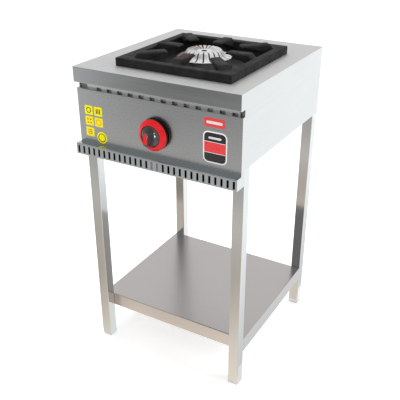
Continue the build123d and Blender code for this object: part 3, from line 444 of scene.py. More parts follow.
finish = {
    "zinc": zincPlate(),
    "grateIron": castIron("grateIron", iron["grateBody"], iron["grateWorn"], True),
    "burnerIron": castIron("burnerIron", iron["burnerBody"], iron["burnerWorn"], False),
    "alloy": burnerAlloy(),
    "knobBlack": knobMoulding(),
}
for maker, table in ((brushedSteel, sheets), (glossCoat, coats), (tarnishedMetal, tarnished)):
    for name, settings in table.items():
        finish[name] = maker(name, *settings)
nodeFinish = {
    "steelTop": ["worktop"],
    "steelPanel": ["control_panel"],
    "steelVent": ["vent_strip"],
    "steelLedge": ["front_ledge"],
    "steelShelf": ["shelf"],
    "steelSide": ["side_panel_left", "side_panel_right"],
    "steelLeg": ["leg_front_left", "leg_front_right", "leg_rear_left", "leg_rear_right"],
    "zinc": [
        "back_panel", "back_panel_screws", "shelf_stiffener", "shelf_bolts", "shelf_nuts", "panel_brackets",
        "ledge_bracket", "top_rail_left", "top_rail_right", "burner_crossbar", "burner_bolts", "air_shutter",
        "tap_spring", "spindle", "tap_screws", "manifold", "pipe_brackets",
    ],
    "grateIron": ["grate"],
    "burnerIron": ["burner_body"],
    "alloy": ["burner_cap"],
    # the spill pan is black enamel; the black ledge baffle and the grey vent baffle stand in for the shade
    # inside the openings, as painted shade
    "blackEnamel": ["spill_pan", "ledge_baffle"],
    "fadedEnamel": ["vent_baffle"],
    "knobBlack": ["knob_body"],
    "knobRed": ["knob_ring", "knob_pointer"],
    "plugPlastic": ["leg_plugs"],
    "bezelBlack": ["knob_bezel"],
    "brass": [
        "shutter_screw", "injector_holder", "injector", "tap_body", "tap_plug", "feed_nuts", "gas_inlet",
        "inlet_locknut", "thermocouple_nut",
    ],
    "copper": ["feed_pipe", "thermocouple"],
}
for finishName, members in nodeFinish.items():
    for node in members:
        nodes[node].data.materials.clear()
        nodes[node].data.materials.append(finish[finishName])
print("finishes on", sum(len(members) for members in nodeFinish.values()), "nodes")


# Small helpers for meshes
mergeGap = 1e-6


def finishMesh(name, form, bend=35.0):
    bmesh.ops.remove_doubles(form, verts=form.verts, dist=mergeGap)
    bmesh.ops.recalc_face_normals(form, faces=form.faces)
    mesh = bpy.data.meshes.new(name)
    form.to_mesh(mesh)
    form.free()
    mesh.shade_smooth()
    mesh.set_sharp_from_angle(angle=math.radians(bend))
    return mesh


def turned(centre, facing):  # facing is where the axis points
    def place(radius, rise, angle):
        across, aside = radius * math.cos(angle), radius * math.sin(angle)
        spots = {"up": (across, aside, rise), "front": (across, -rise, aside), "back": (across, rise, aside)}
        return centre + Vector(spots[facing])
    return place


def skin(form, loops, closed):
    rows = [[form.verts.new(point) for point in loop] for loop in loops]
    for here, after in zip(rows, rows[1:] + rows[:1] if closed else rows[1:]):
        for low in range(len(here)):
            high = (low + 1) % len(here)
            form.faces.new((here[low], here[high], after[high], after[low]))
    return rows


def turnProfile(form, profile, place, steps):
    turns = [2 * math.pi * step / steps for step in range(steps)]
    skin(form, [[place(*point, turn) for point in profile] for turn in turns], True)


def loft(form, loops):
    rows = skin(form, loops, False)
    form.faces.new(rows[0])
    form.faces.new(rows[-1][::-1])


def roundedOutline(width, height, corner, steps=6):
    outline = []
    for turn, (right, up) in enumerate(((1, 1), (-1, 1), (-1, -1), (1, -1))):
        for step in range(steps + 1):
            angle = math.pi / 2 * (turn + step / steps)
            across = right * (width / 2 - corner) + corner * math.cos(angle)
            outline.append((across, up * (height / 2 - corner) + corner * math.sin(angle)))
    return outline


def addPiece(name, mesh, finishName, body, slot, *replaced):
    mesh.materials.clear()
    mesh.materials.append(finish[finishName])
    piece = bpy.data.objects.new(name, mesh)
    scene.collection.objects.link(piece)
    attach(piece, body)
    if replaced:
        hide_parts(*replaced)
    return piece


def addForm(name, form, *settings):
    return addPiece(name, finishMesh(name, form), *settings)


# Geometry Nodes: copies in a ring, and copies at given places
def startTree(name, sockets):
    tree = bpy.data.node_groups.new(name, "GeometryNodeTree")
    tree.is_modifier = True
    for label, kind in sockets:
        tree.interface.new_socket(label, in_out="INPUT", socket_type="NodeSocket" + kind)
    tree.interface.new_socket("Solid", in_out="OUTPUT", socket_type="NodeSocketGeometry")
    return tree, tree.nodes.new("NodeGroupInput").outputs, tree.nodes.new("NodeGroupOutput").inputs


def closeTree(tree, given, result, copies):
    solid = tree.nodes.new("GeometryNodeRealizeInstances")
    paint = tree.nodes.new("GeometryNodeSetMaterial")
    wire(copies, solid.inputs["Geometry"])
    wire(solid.outputs["Geometry"], paint.inputs["Geometry"])
    wire(given["Finish"], paint.inputs["Material"])
    wire(paint.outputs["Geometry"], result["Solid"])


def ringTree():
    tree, given, result = startTree("ringOfCopies", (
        ("Copy", "Geometry"), ("Count", "Int"), ("Turn", "Float"),
        ("Centre", "Vector"), ("Finish", "Material"),
    ))
    points = tree.nodes.new("GeometryNodePoints")
    wire(given["Count"], points.inputs["Count"])
    wire(given["Centre"], points.inputs["Position"])
    step = combine("DIVIDE", 2 * math.pi, given["Count"])
    swing = combine("MULTIPLY", tree.nodes.new("GeometryNodeInputIndex").outputs["Index"], step)
    angles = tree.nodes.new("ShaderNodeCombineXYZ")
    wire(combine("ADD", swing, given["Turn"]), angles.inputs["Z"])
    rotation = tree.nodes.new("FunctionNodeEulerToRotation")
    wire(angles.outputs["Vector"], rotation.inputs["Euler"])
    copies = tree.nodes.new("GeometryNodeInstanceOnPoints")
    wire(points.outputs["Points"], copies.inputs["Points"])
    wire(given["Copy"], copies.inputs["Instance"])
    wire(rotation.outputs["Rotation"], copies.inputs["Rotation"])
    closeTree(tree, given, result, copies.outputs["Instances"])
    return tree


def placesTree():
    sockets = (("Places", "Geometry"), ("Copy", "Object"), ("Finish", "Material"))
    tree, given, result = startTree("copiesAtPlaces", sockets)
    copy = tree.nodes.new("GeometryNodeObjectInfo")
    wire(given["Copy"], copy.inputs["Object"])
    copies = tree.nodes.new("GeometryNodeInstanceOnPoints")
    wire(given["Places"], copies.inputs["Points"])
    wire(copy.outputs["Geometry"], copies.inputs["Instance"])
    closeTree(tree, given, result, copies.outputs["Instances"])
    return tree


def bakeMesh(holder):
    bpy.context.view_layer.update()
    mesh = bpy.data.meshes.new_from_object(holder.evaluated_get(bpy.context.evaluated_depsgraph_get()))
    mesh.name = holder.name
    bpy.data.objects.remove(holder)
    return mesh


def growMesh(name, mesh, tree, values):
    holder = bpy.data.objects.new(name, mesh)
    scene.collection.objects.link(holder)
    grower = holder.modifiers.new("grow", "NODES")
    grower.node_group = tree
    for socket in tree.interface.items_tree:
        if socket.name in values:
            grower[socket.identifier] = values[socket.name]
    return bakeMesh(holder)


def copyMesh(name, mesh, places, finishName):
    model = bpy.data.objects.new(name + "Copy", mesh)
    scene.collection.objects.link(model)
    dots = bpy.data.meshes.new(name + "Places")
    dots.from_pydata(places, [], [])
    grown = growMesh(name, dots, atPlaces, {"Copy": model, "Finish": finish[finishName]})
    bpy.data.objects.remove(model)
    return grown


aroundRing = ringTree()
atPlaces = placesTree()
print("node trees built")


# Grate: a square cast frame with eight fingers, fused and softened like a sand casting
casting = {
    "bar": 0.022,
    "frameTop": 0.021,  # heights count from the worktop
    "fingerTop": 0.0315,
    "fingerUnder": 0.025,
    "fingerFoot": 0.003,
    "halfWidth": 0.0148,
    "halfCrown": 0.0112,
    "crownDrop": 0.0028,
    "midTip": 0.067,
    "cornerTip": 0.097,
    "tipSlope": 0.006,
    "tipDrop": 0.003,
    "level": 0.012,
    "shoulder": 0.010,
    "midRoot": 0.001,
    "cornerRoot": -0.014,
    "lap": 0.004,
    "lugDepth": 0.006,
    "lugRise": 0.010,
    "lugWidth": 0.024,
    "lugIn": 0.0005,
    "lugOut": 0.0075,
    "voxel": 0.0015,
    "softening": 4,
    "softness": 0.5,
}


def heightAt(line, reach):
    for (near, low), (far, high) in zip(line, line[1:]):
        if near <= reach <= far:
            return low + (high - low) * (reach - near) / (far - near)
    return line[-1][1]


def fingerMesh(name, tip, innerEdge, rootLap):
    root = innerEdge + rootLap
    end = innerEdge + casting["lap"]
    top, frameTop, under = casting["fingerTop"], casting["frameTop"], casting["fingerUnder"]
    upper = [
        (tip, top - casting["tipDrop"]),
        (tip + casting["tipSlope"], top),
        (root - casting["shoulder"], top),
        (root, frameTop),
        (end, frameTop),
    ]
    foot = casting["fingerFoot"]
    lower = [(tip, under), (tip + casting["level"], under), (root, foot), (end, foot)]
    wide, crown, drop = casting["halfWidth"], casting["halfCrown"], casting["crownDrop"]
    loops = []
    for reach in sorted({reach for reach, height in upper + lower}):
        low, high = heightAt(lower, reach), heightAt(upper, reach)
        edge = high - drop
        section = ((-wide, low), (wide, low), (wide, edge), (crown, high), (-crown, high), (-wide, edge))
        loops.append([Vector((reach, side, height)) for side, height in section])
    form = bmesh.new()
    loft(form, loops)
    return finishMesh(name, form)


def squareRing(form, centre, outer, inner, low, high):
    corners = ((-1, -1), (1, -1), (1, 1), (-1, 1))
    skin(form, [
        [centre + Vector((x * half, y * half, rise)) for x, y in corners]
        for half, rise in ((outer, low), (outer, high), (inner, high), (inner, low))
    ], True)


def boxSolid(form, low, high):
    (left, near, under), (right, far, top) = low, high
    corners = ((left, near), (right, near), (right, far), (left, far))
    loft(form, [[Vector((x, y, z)) for x, y in corners] for z in (under, top)])


def addGrate():
    outer = (grateHigh.x - grateLow.x) / 2
    inner = outer - casting["bar"]
    form = bmesh.new()
    squareRing(form, burner, outer, inner, 0.0, casting["frameTop"])
    half = casting["lugWidth"] / 2
    near, far = inner + casting["lugIn"], inner + casting["lugOut"]
    for x, y in ((1, 0), (0, 1), (-1, 0), (0, -1)):
        across = sorted((burner.x + x * near - y * half, burner.x + x * far + y * half))
        along = sorted((burner.y + y * near - x * half, burner.y + y * far + x * half))
        rises = (burner.z - casting["lugDepth"], burner.z + casting["lugRise"])
        boxSolid(form, *zip(across, along, rises))
    kinds = (
        ("midFingers", casting["midTip"], inner, casting["midRoot"], 0.0),
        ("cornerFingers", casting["cornerTip"], inner * math.sqrt(2), casting["cornerRoot"], math.pi / 4),
    )
    for name, tip, edge, lap, turn in kinds:
        one = fingerMesh(name, tip, edge, lap)
        values = {"Count": 4, "Turn": turn, "Centre": burner, "Finish": finish["grateIron"]}
        form.from_mesh(growMesh(name, one, aroundRing, values))
    holder = bpy.data.objects.new("grateCasting", finishMesh("grateCasting", form))
    scene.collection.objects.link(holder)
    fuse = holder.modifiers.new("fuse", "REMESH")
    fuse.mode = "VOXEL"
    fuse.voxel_size = casting["voxel"]
    fuse.use_smooth_shade = True
    soften = holder.modifiers.new("soften", "SMOOTH")
    soften.factor = casting["softness"]
    soften.iterations = casting["softening"]
    mesh = bakeMesh(holder)
    addPiece("grateCasting", mesh, "grateIron", "grate", "iron", "grate")
    return len(mesh.polygons)


print("grate faces:", addGrate())


# Burner cap: petals round a hub, flared at the foot, on a ring that sits on the burner
petalCap = {
    "petals": 21,
    "slotTurn": -80.0,
    "slot": 0.0033,
    "holeRadius": 0.0070,
    "hubRadius": 0.0140,
    "hubDrop": 0.0040,  # heights count down from the ridge
    "profile": [
        # radius, drop
        (0.0180, 0.0036),
        (0.0250, 0.0022),
        (0.0330, 0.0008),
        (0.0390, 0.0001),
        (0.0420, 0.0000),
        (0.0442, 0.0009),
        (0.0460, 0.0027),
        (0.0480, 0.0056),
        (0.0505, 0.0094),
        (0.0530, 0.0128),
        (0.0560, 0.0149),
        (0.0600, 0.0159),
        (0.0660, 0.0170),
        (0.0700, 0.0177),
        (0.0709, 0.0184),
    ],
    "crown": 0.0004,
    "crownWidth": 0.4,  # share of a petal's width that is level
    "seatDrop": 0.0215,
    "tieRise": 0.0015,
    "lap": 0.0005,
    "hubLap": 0.0006,
    "wall": 0.0040,
    "skirtRadius": 0.0617,
    "skirtWall": 0.0035,
    "ringRadius": 0.0660,
    "brimRise": 0.0011,
    "rounding": 0.0005,
    "sharp": 60.0,
    "holeEdge": 0.0008,
    "rimEdge": 0.0006,
    "hubSteps": 96,
    "rimSteps": 128,
}


def petalMesh():
    tie = capHigh.z - petalCap["seatDrop"] + petalCap["tieRise"] - petalCap["lap"]
    crown, level = petalCap["crown"], petalCap["crownWidth"]
    skirt, end = petalCap["skirtRadius"], petalCap["profile"][-1][0]
    loops = []
    for radius, drop in petalCap["profile"]:
        half = math.pi / petalCap["petals"] - math.asin(petalCap["slot"] / 2 / radius)
        top = capHigh.z - drop
        under = max(top - petalCap["wall"], tie)
        if radius > skirt:
            under = tie + petalCap["brimRise"] * (radius - skirt) / (end - skirt)
        section = [(-1.0, top - crown), (-level, top), (level, top), (1.0, top - crown)]
        section += [(share, under) for share in (1.0, level, -level, -1.0)]
        loops.append([
            Vector((radius * math.cos(half * share), radius * math.sin(half * share), rise))
            for share, rise in section
        ])
    form = bmesh.new()
    loft(form, loops)
    bmesh.ops.recalc_face_normals(form, faces=form.faces)
    sharp = math.radians(petalCap["sharp"])
    edges = [edge for edge in form.edges if edge.calc_face_angle(0.0) > sharp]
    rounding = petalCap["rounding"]
    bmesh.ops.bevel(form, geom=edges, offset=rounding, segments=2, affect="EDGES", clamp_overlap=True)
    return finishMesh("petal", form)


def addCap():
    rim = petalCap["ringRadius"]
    centre = Vector((burner.x, burner.y, 0.0))
    values = {
        "Count": petalCap["petals"],
        "Turn": math.radians(petalCap["slotTurn"]) + math.pi / petalCap["petals"],
        "Centre": centre,
        "Finish": finish["alloy"],
    }
    form = bmesh.new()
    form.from_mesh(growMesh("petals", petalMesh(), aroundRing, values))
    hole, hub, wall = petalCap["holeRadius"], petalCap["hubRadius"], petalCap["wall"]
    level = capHigh.z - petalCap["hubDrop"]
    edge = petalCap["holeEdge"]
    start, startDrop = petalCap["profile"][0]
    start += petalCap["hubLap"]
    turnProfile(form, [
        (hole, level - wall),
        (hole, level - edge),
        (hole + edge, level),
        (hub, level),
        (start, capHigh.z - startDrop),
        (start, capHigh.z - startDrop - wall),
    ], turned(centre, "up"), petalCap["hubSteps"])
    seat = capHigh.z - petalCap["seatDrop"]
    tie = seat + petalCap["tieRise"]
    edge = petalCap["rimEdge"]
    outer = petalCap["skirtRadius"]
    inner = outer - petalCap["skirtWall"]
    turnProfile(form, [
        (inner, capLow.z),
        (outer - edge, capLow.z),
        (outer, capLow.z + edge),
        (outer, seat),
        (rim - edge, seat),
        (rim, seat + edge),
        (rim, tie),
        (inner, tie),
    ], turned(centre, "up"), petalCap["rimSteps"])
    addForm("burnerPetals", form, "alloy", "burner_cap", "burner_alloy", "burner_cap")


addCap()
print("burner cap:", petalCap["petals"], "petals")


# Knob: a black skirt, a red cone and a domed hub with a grip bar, distances counted out from the panel
dial = {
    "bezelRadius": 0.0408,
    "bezelThick": 0.0012,
    "bezelHole": 0.0120,
    "bezelEdge": [(0.0, 0.0005), (0.0002, 0.0001), (0.0006, 0.0)],  # in from the rim, back from the face
    "skirtBack": 0.0058,
    "face": 0.0125,
    "skirtRadius": 0.0402,
    "skirtEdge": [(0.0012, 0.0), (0.0003, 0.0003), (0.0, 0.0012)],  # in from the rim, out from the back
    "lip": 0.0015,
    "ringInner": 0.0274,
    "ringBack": [(0.0002, 0.0), (0.0, 0.0003)],  # in from the rim, out from the face
    "ringLip": [(0.0, -0.0007), (0.0004, 0.0), (0.0016, 0.0010)],  # in from the rim, out from the lip
    "ringSwell": 0.0004,
    "ringFront": [  # out from the hole, back from the front
        (0.0016, 0.0011), (0.0006, 0.0006), (0.0, 0.0010),
    ],
    "hubRadius": 0.0270,
    "hubFront": 0.0240,
    "hubEdge": [  # in from the rim, back from the front
        (0.0, 0.0040), (0.0004, 0.0030), (0.0014, 0.0018), (0.0028, 0.0002),
    ],
    "dome": 0.0032,
    "domeCurve": [  # in from the rim, share of the dome
        (0.0062, 0.34), (0.0100, 0.60), (0.0150, 0.81), (0.0200, 0.94),
    ],
    "core": 0.0060,
    "coreTaper": 0.0010,
    "boss": 0.0090,
    "wall": 0.0035,
    "hollow": 0.0052,
    "gripSections": [
        # out from the panel, width, length
        (0.0225, 0.0210, 0.0476),
        (0.0252, 0.0180, 0.0462),
        (0.0285, 0.0160, 0.0446),
        (0.0340, 0.0148, 0.0418),
        (0.0430, 0.0138, 0.0368),
        (0.0442, 0.0132, 0.0360),
        (0.0447, 0.0120, 0.0348),
    ],
    "gripCorner": 0.0055,
    "gripEase": 0.0002,
    "pointerWidth": 0.0100,
    "pointerLength": 0.0248,
    "pointerBack": 0.0440,
    "pointerFront": 0.0450,
    "pointerCorner": 0.0022,
    "pointerEdge": 0.0003,
    "steps": 128,
}


def addKnob():
    turn, steps = turned(knob, "front"), dial["steps"]
    rim, thick, hole = dial["bezelRadius"], dial["bezelThick"], dial["bezelHole"]
    form = bmesh.new()
    edge = [(rim - inset, thick - drop) for inset, drop in dial["bezelEdge"]]
    turnProfile(form, [(hole, 0.0), (rim, 0.0), *edge, (hole, thick)], turn, steps)
    addForm("knobBezel", form, "bezelBlack", "stove", "chrome", "knob_bezel")
    back, face, radius = dial["skirtBack"], dial["face"], dial["skirtRadius"]
    hub, front, dome = dial["hubRadius"], dial["hubFront"], dial["dome"]
    wall, floor = radius - dial["wall"], back + dial["hollow"]
    form = bmesh.new()
    turnProfile(form, [
        (dial["core"], back),
        (dial["boss"], back),
        (dial["boss"], floor),
        (wall, floor),
        (wall, back),
        *[(radius - inset, back + rise) for inset, rise in dial["skirtEdge"]],
        (radius, face),
        (hub, face),
        *[(hub - inset, front - drop) for inset, drop in dial["hubEdge"]],
        *[(hub - inset, front + share * dome) for inset, share in dial["domeCurve"]],
        (0.0, front + dome),
        (0.0, face),
        (dial["core"], face - dial["coreTaper"]),
    ], turn, steps)
    loops = []
    for out, width, length in dial["gripSections"]:
        corner = min(dial["gripCorner"], width / 2 - dial["gripEase"])
        loops.append([knob + Vector((x, -out, z)) for x, z in roundedOutline(width, length, corner)])
    loft(form, loops)
    body = addForm("knobBody", form, "knobBlack", "knob", "black_plastic", "knob_body")
    form = bmesh.new()
    inner, lip = dial["ringInner"], face + dial["lip"]
    turnProfile(form, [
        (inner, face),
        *[(radius - inset, face + out) for inset, out in dial["ringBack"]],
        *[(radius - inset, lip + out) for inset, out in dial["ringLip"]],
        ((radius + inner) / 2, (lip + front) / 2 + dial["ringSwell"]),
        *[(inner + out, front - drop) for out, drop in dial["ringFront"]],
    ], turn, steps)
    addForm("knobRing", form, "knobRed", "knob", "red_plastic", "knob_ring")
    form = bmesh.new()
    wide, long, corner = dial["pointerWidth"], dial["pointerLength"], dial["pointerCorner"]
    tip, edge = dial["pointerFront"], dial["pointerEdge"]
    loft(form, [
        [knob + Vector((x, -out, z)) for x, z in roundedOutline(wide - trim, long - trim, corner - trim / 2)]
        for out, trim in ((dial["pointerBack"], 0.0), (tip - edge, 0.0), (tip, 2 * edge))
    ])
    addForm("knobPointer", form, "knobRed", "knob", "red_plastic", "knob_pointer")
    return body


knobBody = addKnob()
print("knob built")


# Return spring in the tap: a wire coil, and the share of its length it keeps when the knob goes in
coil = {"wire": 0.0010, "turns": 5, "turnSteps": 28, "sides": 8, "travel": 0.004}


def addSpring():
    low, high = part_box("tap_spring")
    half = coil["wire"] / 2
    axis = Vector((0.0, 1.0, 0.0))
    middle = (low + high) / 2
    reach = (high.x - low.x) / 2 - half
    steps = coil["turns"] * coil["turnSteps"]
    loops = []
    for step in range(steps + 1):
        angle = 2 * math.pi * step / coil["turnSteps"]
        out = Vector((math.cos(angle), 0.0, math.sin(angle)))
        along = low.y + half + (high.y - low.y - coil["wire"]) * step / steps
        spot = Vector((middle.x, along, middle.z)) + reach * out
        turns = [2 * math.pi * side / coil["sides"] for side in range(coil["sides"])]
        loops.append([spot + half * (math.cos(turn) * out + math.sin(turn) * axis) for turn in turns])
    form = bmesh.new()
    loft(form, loops)
    piece = addForm("tapSpring", form, "zinc", "tap_plug", "galvanised", "tap_spring")
    keep = 1 - coil["travel"] / (high.y - low.y)
    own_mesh(piece)
    return keep


print("tap spring keeps", round(addSpring(), 3), "of its length")


# Plates on the control panel, with x from the middle and z from the floor, and plain marks on them
plates = {
    "thick": 0.0004,
    "side": 0.6,  # share of the thickness below the bevel
    "trim": 0.0006,
    "corner": 0.0012,
    "yellowSize": (0.0250, 0.0240),
    "yellowPlaces": [
        (-0.2024, 0.7385), (-0.1728, 0.7385), (-0.2024, 0.7095), (-0.1728, 0.7095), (-0.2024, 0.6800),
    ],
    "discPlace": (-0.1655, 0.6692),
    "discRadius": 0.0156,
    "discSteps": 64,
    "redPlace": (0.1630, 0.7695),
    "redSize": (0.0540, 0.0220),
    "badgePlace": (0.1650, 0.7085),
    "badgeSize": (0.0640, 0.0790),
    "badgeRim": 0.0035,
    "badgeCorner": 0.0140,
    "bandHeight": 0.0260,
    "bandEase": 0.0006,
    "bandCorner": 0.0005,
}
marks = {
    "ring": 0.0150,
    "discRing": 0.0232,
    "wall": 0.0018,
    "bar": (0.0027, 0.0140),
    "barPitch": 0.0052,
    "dot": 0.0056,
    "dotPitch": 0.0092,
    "frame": 0.0152,
    "frameCorner": 0.0030,
    "stripe": (0.0430, 0.0064),
    "hairline": 0.0012,
    "hairCorner": 0.0003,
    "fieldBar": (0.0340, 0.0052),
    "fieldBarUp": 0.0235,
}


def addPlate(form, middle, width, height, corner, back=0.0):
    thick, trim = plates["thick"], plates["trim"]
    loft(form, [
        [middle + Vector((x, -back - out, z)) for x, z in roundedOutline(width - cut, height - cut, corner)]
        for out, cut in ((0.0, 0.0), (thick * plates["side"], 0.0), (thick, trim))
    ])


def addHollow(form, middle, size, corner, back):
    thick, wall = plates["thick"], marks["wall"]
    loops = []
    for inset, out in ((0.0, 0.0), (0.0, thick), (wall, thick), (wall, 0.0)):
        outline = roundedOutline(size - 2 * inset, size - 2 * inset, corner - inset)
        loops.append([middle + Vector((x, -back - out, z)) for x, z in outline])
    skin(form, loops, True)


def onPanel(place):
    return Vector((place[0], panelLow.y, place[1]))


def placedPlate(name, finishName, slot, place, size, corner, back=0.0):
    form = bmesh.new()
    addPlate(form, onPanel(place), *size, corner, back)
    addForm(name, form, finishName, "stove", slot)


def addPlates():
    form = bmesh.new()
    addPlate(form, Vector(), *plates["yellowSize"], plates["corner"])
    places = [onPanel(place) for place in plates["yellowPlaces"]]
    mesh = copyMesh("yellowPlates", finishMesh("yellowPlates", form), places, "plateYellow")
    addPiece("yellowPlates", mesh, "plateYellow", "stove", "grey_plastic")
    form = bmesh.new()
    thick, radius = plates["thick"], plates["discRadius"]
    side, bevel = thick * plates["side"], radius - plates["trim"] / 2
    profile = [(0.0, 0.0), (radius, 0.0), (radius, side), (bevel, thick), (0.0, thick)]
    turnProfile(form, profile, turned(onPanel(plates["discPlace"]), "front"), plates["discSteps"])
    addForm("yellowDisc", form, "plateYellow", "stove", "grey_plastic")
    corner = plates["corner"] * 2
    placedPlate("redPlate", "plateRed", "red_plastic", plates["redPlace"], plates["redSize"], corner)
    middle, (wide, high) = plates["badgePlace"], plates["badgeSize"]
    rim, corner = plates["badgeRim"], plates["badgeCorner"]
    field = (wide - 2 * rim, high - 2 * rim)
    band = (field[0] - plates["bandEase"], plates["bandHeight"])
    placedPlate("badgeRim", "plateWhite", "grey_plastic", middle, (wide, high), corner)
    placedPlate("badgeField", "plateBlack", "black_plastic", middle, field, corner - rim, thick)
    placedPlate("badgeBand", "plateRed", "red_plastic", middle, band, plates["bandCorner"], thick * 2)


def addMarks():
    thick = plates["thick"]
    first, second, third, fourth, fifth = [onPanel(place) for place in plates["yellowPlaces"]]
    wide, high = marks["bar"]
    form = bmesh.new()
    addHollow(form, first, marks["ring"], marks["ring"] / 2, thick)
    addHollow(form, onPanel(plates["discPlace"]), marks["discRing"], marks["discRing"] / 2, thick)
    for step in (-1, 0, 1):
        addPlate(form, second + Vector((step * marks["barPitch"], 0.0, 0.0)), wide, high, wide / 2, thick)
    addForm("darkMarks", form, "plateBlack", "stove", "black_plastic")
    form = bmesh.new()
    size, half = marks["dot"], marks["dotPitch"] / 2
    for x, z in ((-half, -half), (half, -half), (-half, half), (half, half)):
        addPlate(form, third + Vector((x, 0.0, z)), size, size, size / 2, thick)
    addHollow(form, fourth, marks["frame"], marks["frameCorner"], thick)
    for step in (-1, 0, 1):
        addPlate(form, fifth + Vector((0.0, 0.0, step * marks["barPitch"])), high, wide, wide / 2, thick)
    addForm("orangeMarks", form, "plateOrange", "stove", "red_plastic")
    form = bmesh.new()
    wide, high = marks["stripe"]
    addPlate(form, onPanel(plates["redPlace"]), wide, high, high / 2, thick)
    badge, line = onPanel(plates["badgePlace"]), marks["hairline"]
    across = plates["badgeSize"][0] - 2 * plates["badgeRim"] - plates["bandEase"]
    aside = (plates["bandHeight"] + line) / 2
    for up in (-aside, aside):
        addPlate(form, badge + Vector((0.0, 0.0, up)), across, line, marks["hairCorner"], thick * 2)
    wide, high = marks["fieldBar"]
    addPlate(form, badge + Vector((0.0, 0.0, marks["fieldBarUp"])), wide, high, high / 2, thick * 2)
    addForm("whiteMarks", form, "plateWhite", "stove", "grey_plastic")


addPlates()
addMarks()
print("plates set")


# Back of the casing: pan-head screws and the threaded gas inlet
fittings = {
    "headRadius": 0.0040,
    "headRise": 0.0024,
    "headCurve": [(0.0, 1.0), (0.45, 0.97), (0.75, 0.84), (0.93, 0.60), (1.0, 0.28), (1.0, 0.0)],  # shares
    "headSteps": 40,
    "shankRadius": 0.0019,
    "shankLength": 0.0085,
    "shankPoint": (0.4, 0.0006),  # share of the radius, length
    "crossWidth": 0.0009,
    "crossReach": 0.0023,
    "crossDepth": 0.0013,
    "crossOver": 0.0010,
    "screwRows": 3,
    "hexLength": 0.0140,
    "hexFlats": 0.0300,
    "hexBevel": (0.0016, 0.0012),  # in from a corner, along
    "bulkhead": 0.0120,
    "bulkheadSteps": 64,
    "lap": 0.0002,
    "threadStart": 0.0222,
    "threadRadius": 0.0104,
    "threadPitch": 0.001814,
    "threadDepth": 0.00116,
    "threadFlank": (1.3, 0.15),  # slope, and how much of the crest is level
    "threadRows": 8,  # a turn
    "threadSteps": 48,
    "runOut": 0.9,  # turns
    "bend": 25.0,
    "bore": 0.0080,
}


def screwMesh():
    radius, rise = fittings["headRadius"], fittings["headRise"]
    shank, length = fittings["shankRadius"], fittings["shankLength"]
    tip, point = fittings["shankPoint"]
    form = bmesh.new()
    turnProfile(form, [
        *[(out * radius, up * rise) for out, up in fittings["headCurve"]],
        (shank, 0.0),
        (shank, point - length),
        (tip * shank, -length),
        (0.0, -length),
    ], turned(Vector(), "back"), fittings["headSteps"])
    head = bpy.data.objects.new("screwHead", finishMesh("screwHead", form))
    form = bmesh.new()
    reach, half, depth = fittings["crossReach"], fittings["crossWidth"] / 2, fittings["crossDepth"]
    over = rise + fittings["crossOver"]
    for wide, high in ((reach, half), (half, reach)):
        boxSolid(form, (-wide, rise - depth, -high), (wide, over, high))
    cross = bpy.data.objects.new("screwCross", finishMesh("screwCross", form))
    for part in (head, cross):
        scene.collection.objects.link(part)
    cut = head.modifiers.new("cross", "BOOLEAN")
    cut.operation = "DIFFERENCE"
    cut.solver = "EXACT"
    cut.use_self = True
    cut.object = cross
    mesh = bakeMesh(head)
    bpy.data.objects.remove(cross)
    return mesh


def addScrews():
    radius, steps = fittings["headRadius"], fittings["screwRows"] - 1
    low, high = screwLow.z + radius, screwHigh.z - radius
    places = [
        (x, backHigh.y, low + (high - low) * row / steps)
        for x in (screwLow.x + radius, screwHigh.x - radius)
        for row in range(steps + 1)
    ]
    mesh = copyMesh("backScrews", screwMesh(), places, "zinc")
    addPiece("backScrews", mesh, "zinc", "stove", "galvanised", "back_panel_screws")
    return len(places)


def threadLoops(place, start, end):
    steps, turns = fittings["threadSteps"], (end - start) / fittings["threadPitch"]
    slope, crest = fittings["threadFlank"]
    rows = math.ceil(turns * fittings["threadRows"])
    loops = []
    for row in range(rows + 1):
        along = turns * row / rows
        edge = min(along, turns - along) / fittings["runOut"]
        loop = []
        for step in range(steps):
            groove = abs(2 * ((along - step / steps) % 1.0) - 1)
            depth = fittings["threadDepth"] * max(min(slope * groove - crest, 1.0), 0.0, 1 - edge)
            out = start + along * fittings["threadPitch"]
            loop.append(place(fittings["threadRadius"] - depth, out, 2 * math.pi * step / steps))
        loops.append(loop)
    return loops


def addInlet():
    middle = (inletLow + inletHigh) / 2
    place = turned(Vector((middle.x, inletLow.y, middle.z)), "back")
    start, end = fittings["threadStart"], inletHigh.y - inletLow.y
    loops = threadLoops(place, start, end)
    bore, steps = fittings["bore"], fittings["threadSteps"]
    for out in (end, start):
        loops.append([place(bore, out, 2 * math.pi * step / steps) for step in range(steps)])
    form = bmesh.new()
    skin(form, loops, True)
    ring, lap, length = fittings["bulkhead"], fittings["lap"], fittings["hexLength"]
    turnProfile(form, [
        (bore, length - lap),
        (ring, length - lap),
        (ring, start + lap),
        (bore, start + lap),
    ], place, fittings["bulkheadSteps"])
    corner = fittings["hexFlats"] / math.sqrt(3)
    inset, bevel = fittings["hexBevel"]
    cuts = ((0.0, inset), (bevel, 0.0), (length - bevel, 0.0), (length, inset))
    turns = [math.pi / 2 - turn * math.pi / 3 for turn in range(6)]
    loft(form, [[place(corner - cut, out, turn) for turn in turns] for out, cut in cuts])
    mesh = finishMesh("gasInlet", form, fittings["bend"])
    addPiece("gasInlet", mesh, "brass", "stove", "brass", "gas_inlet")


print("back screws:", addScrews())
addInlet()
print("gas inlet threaded")


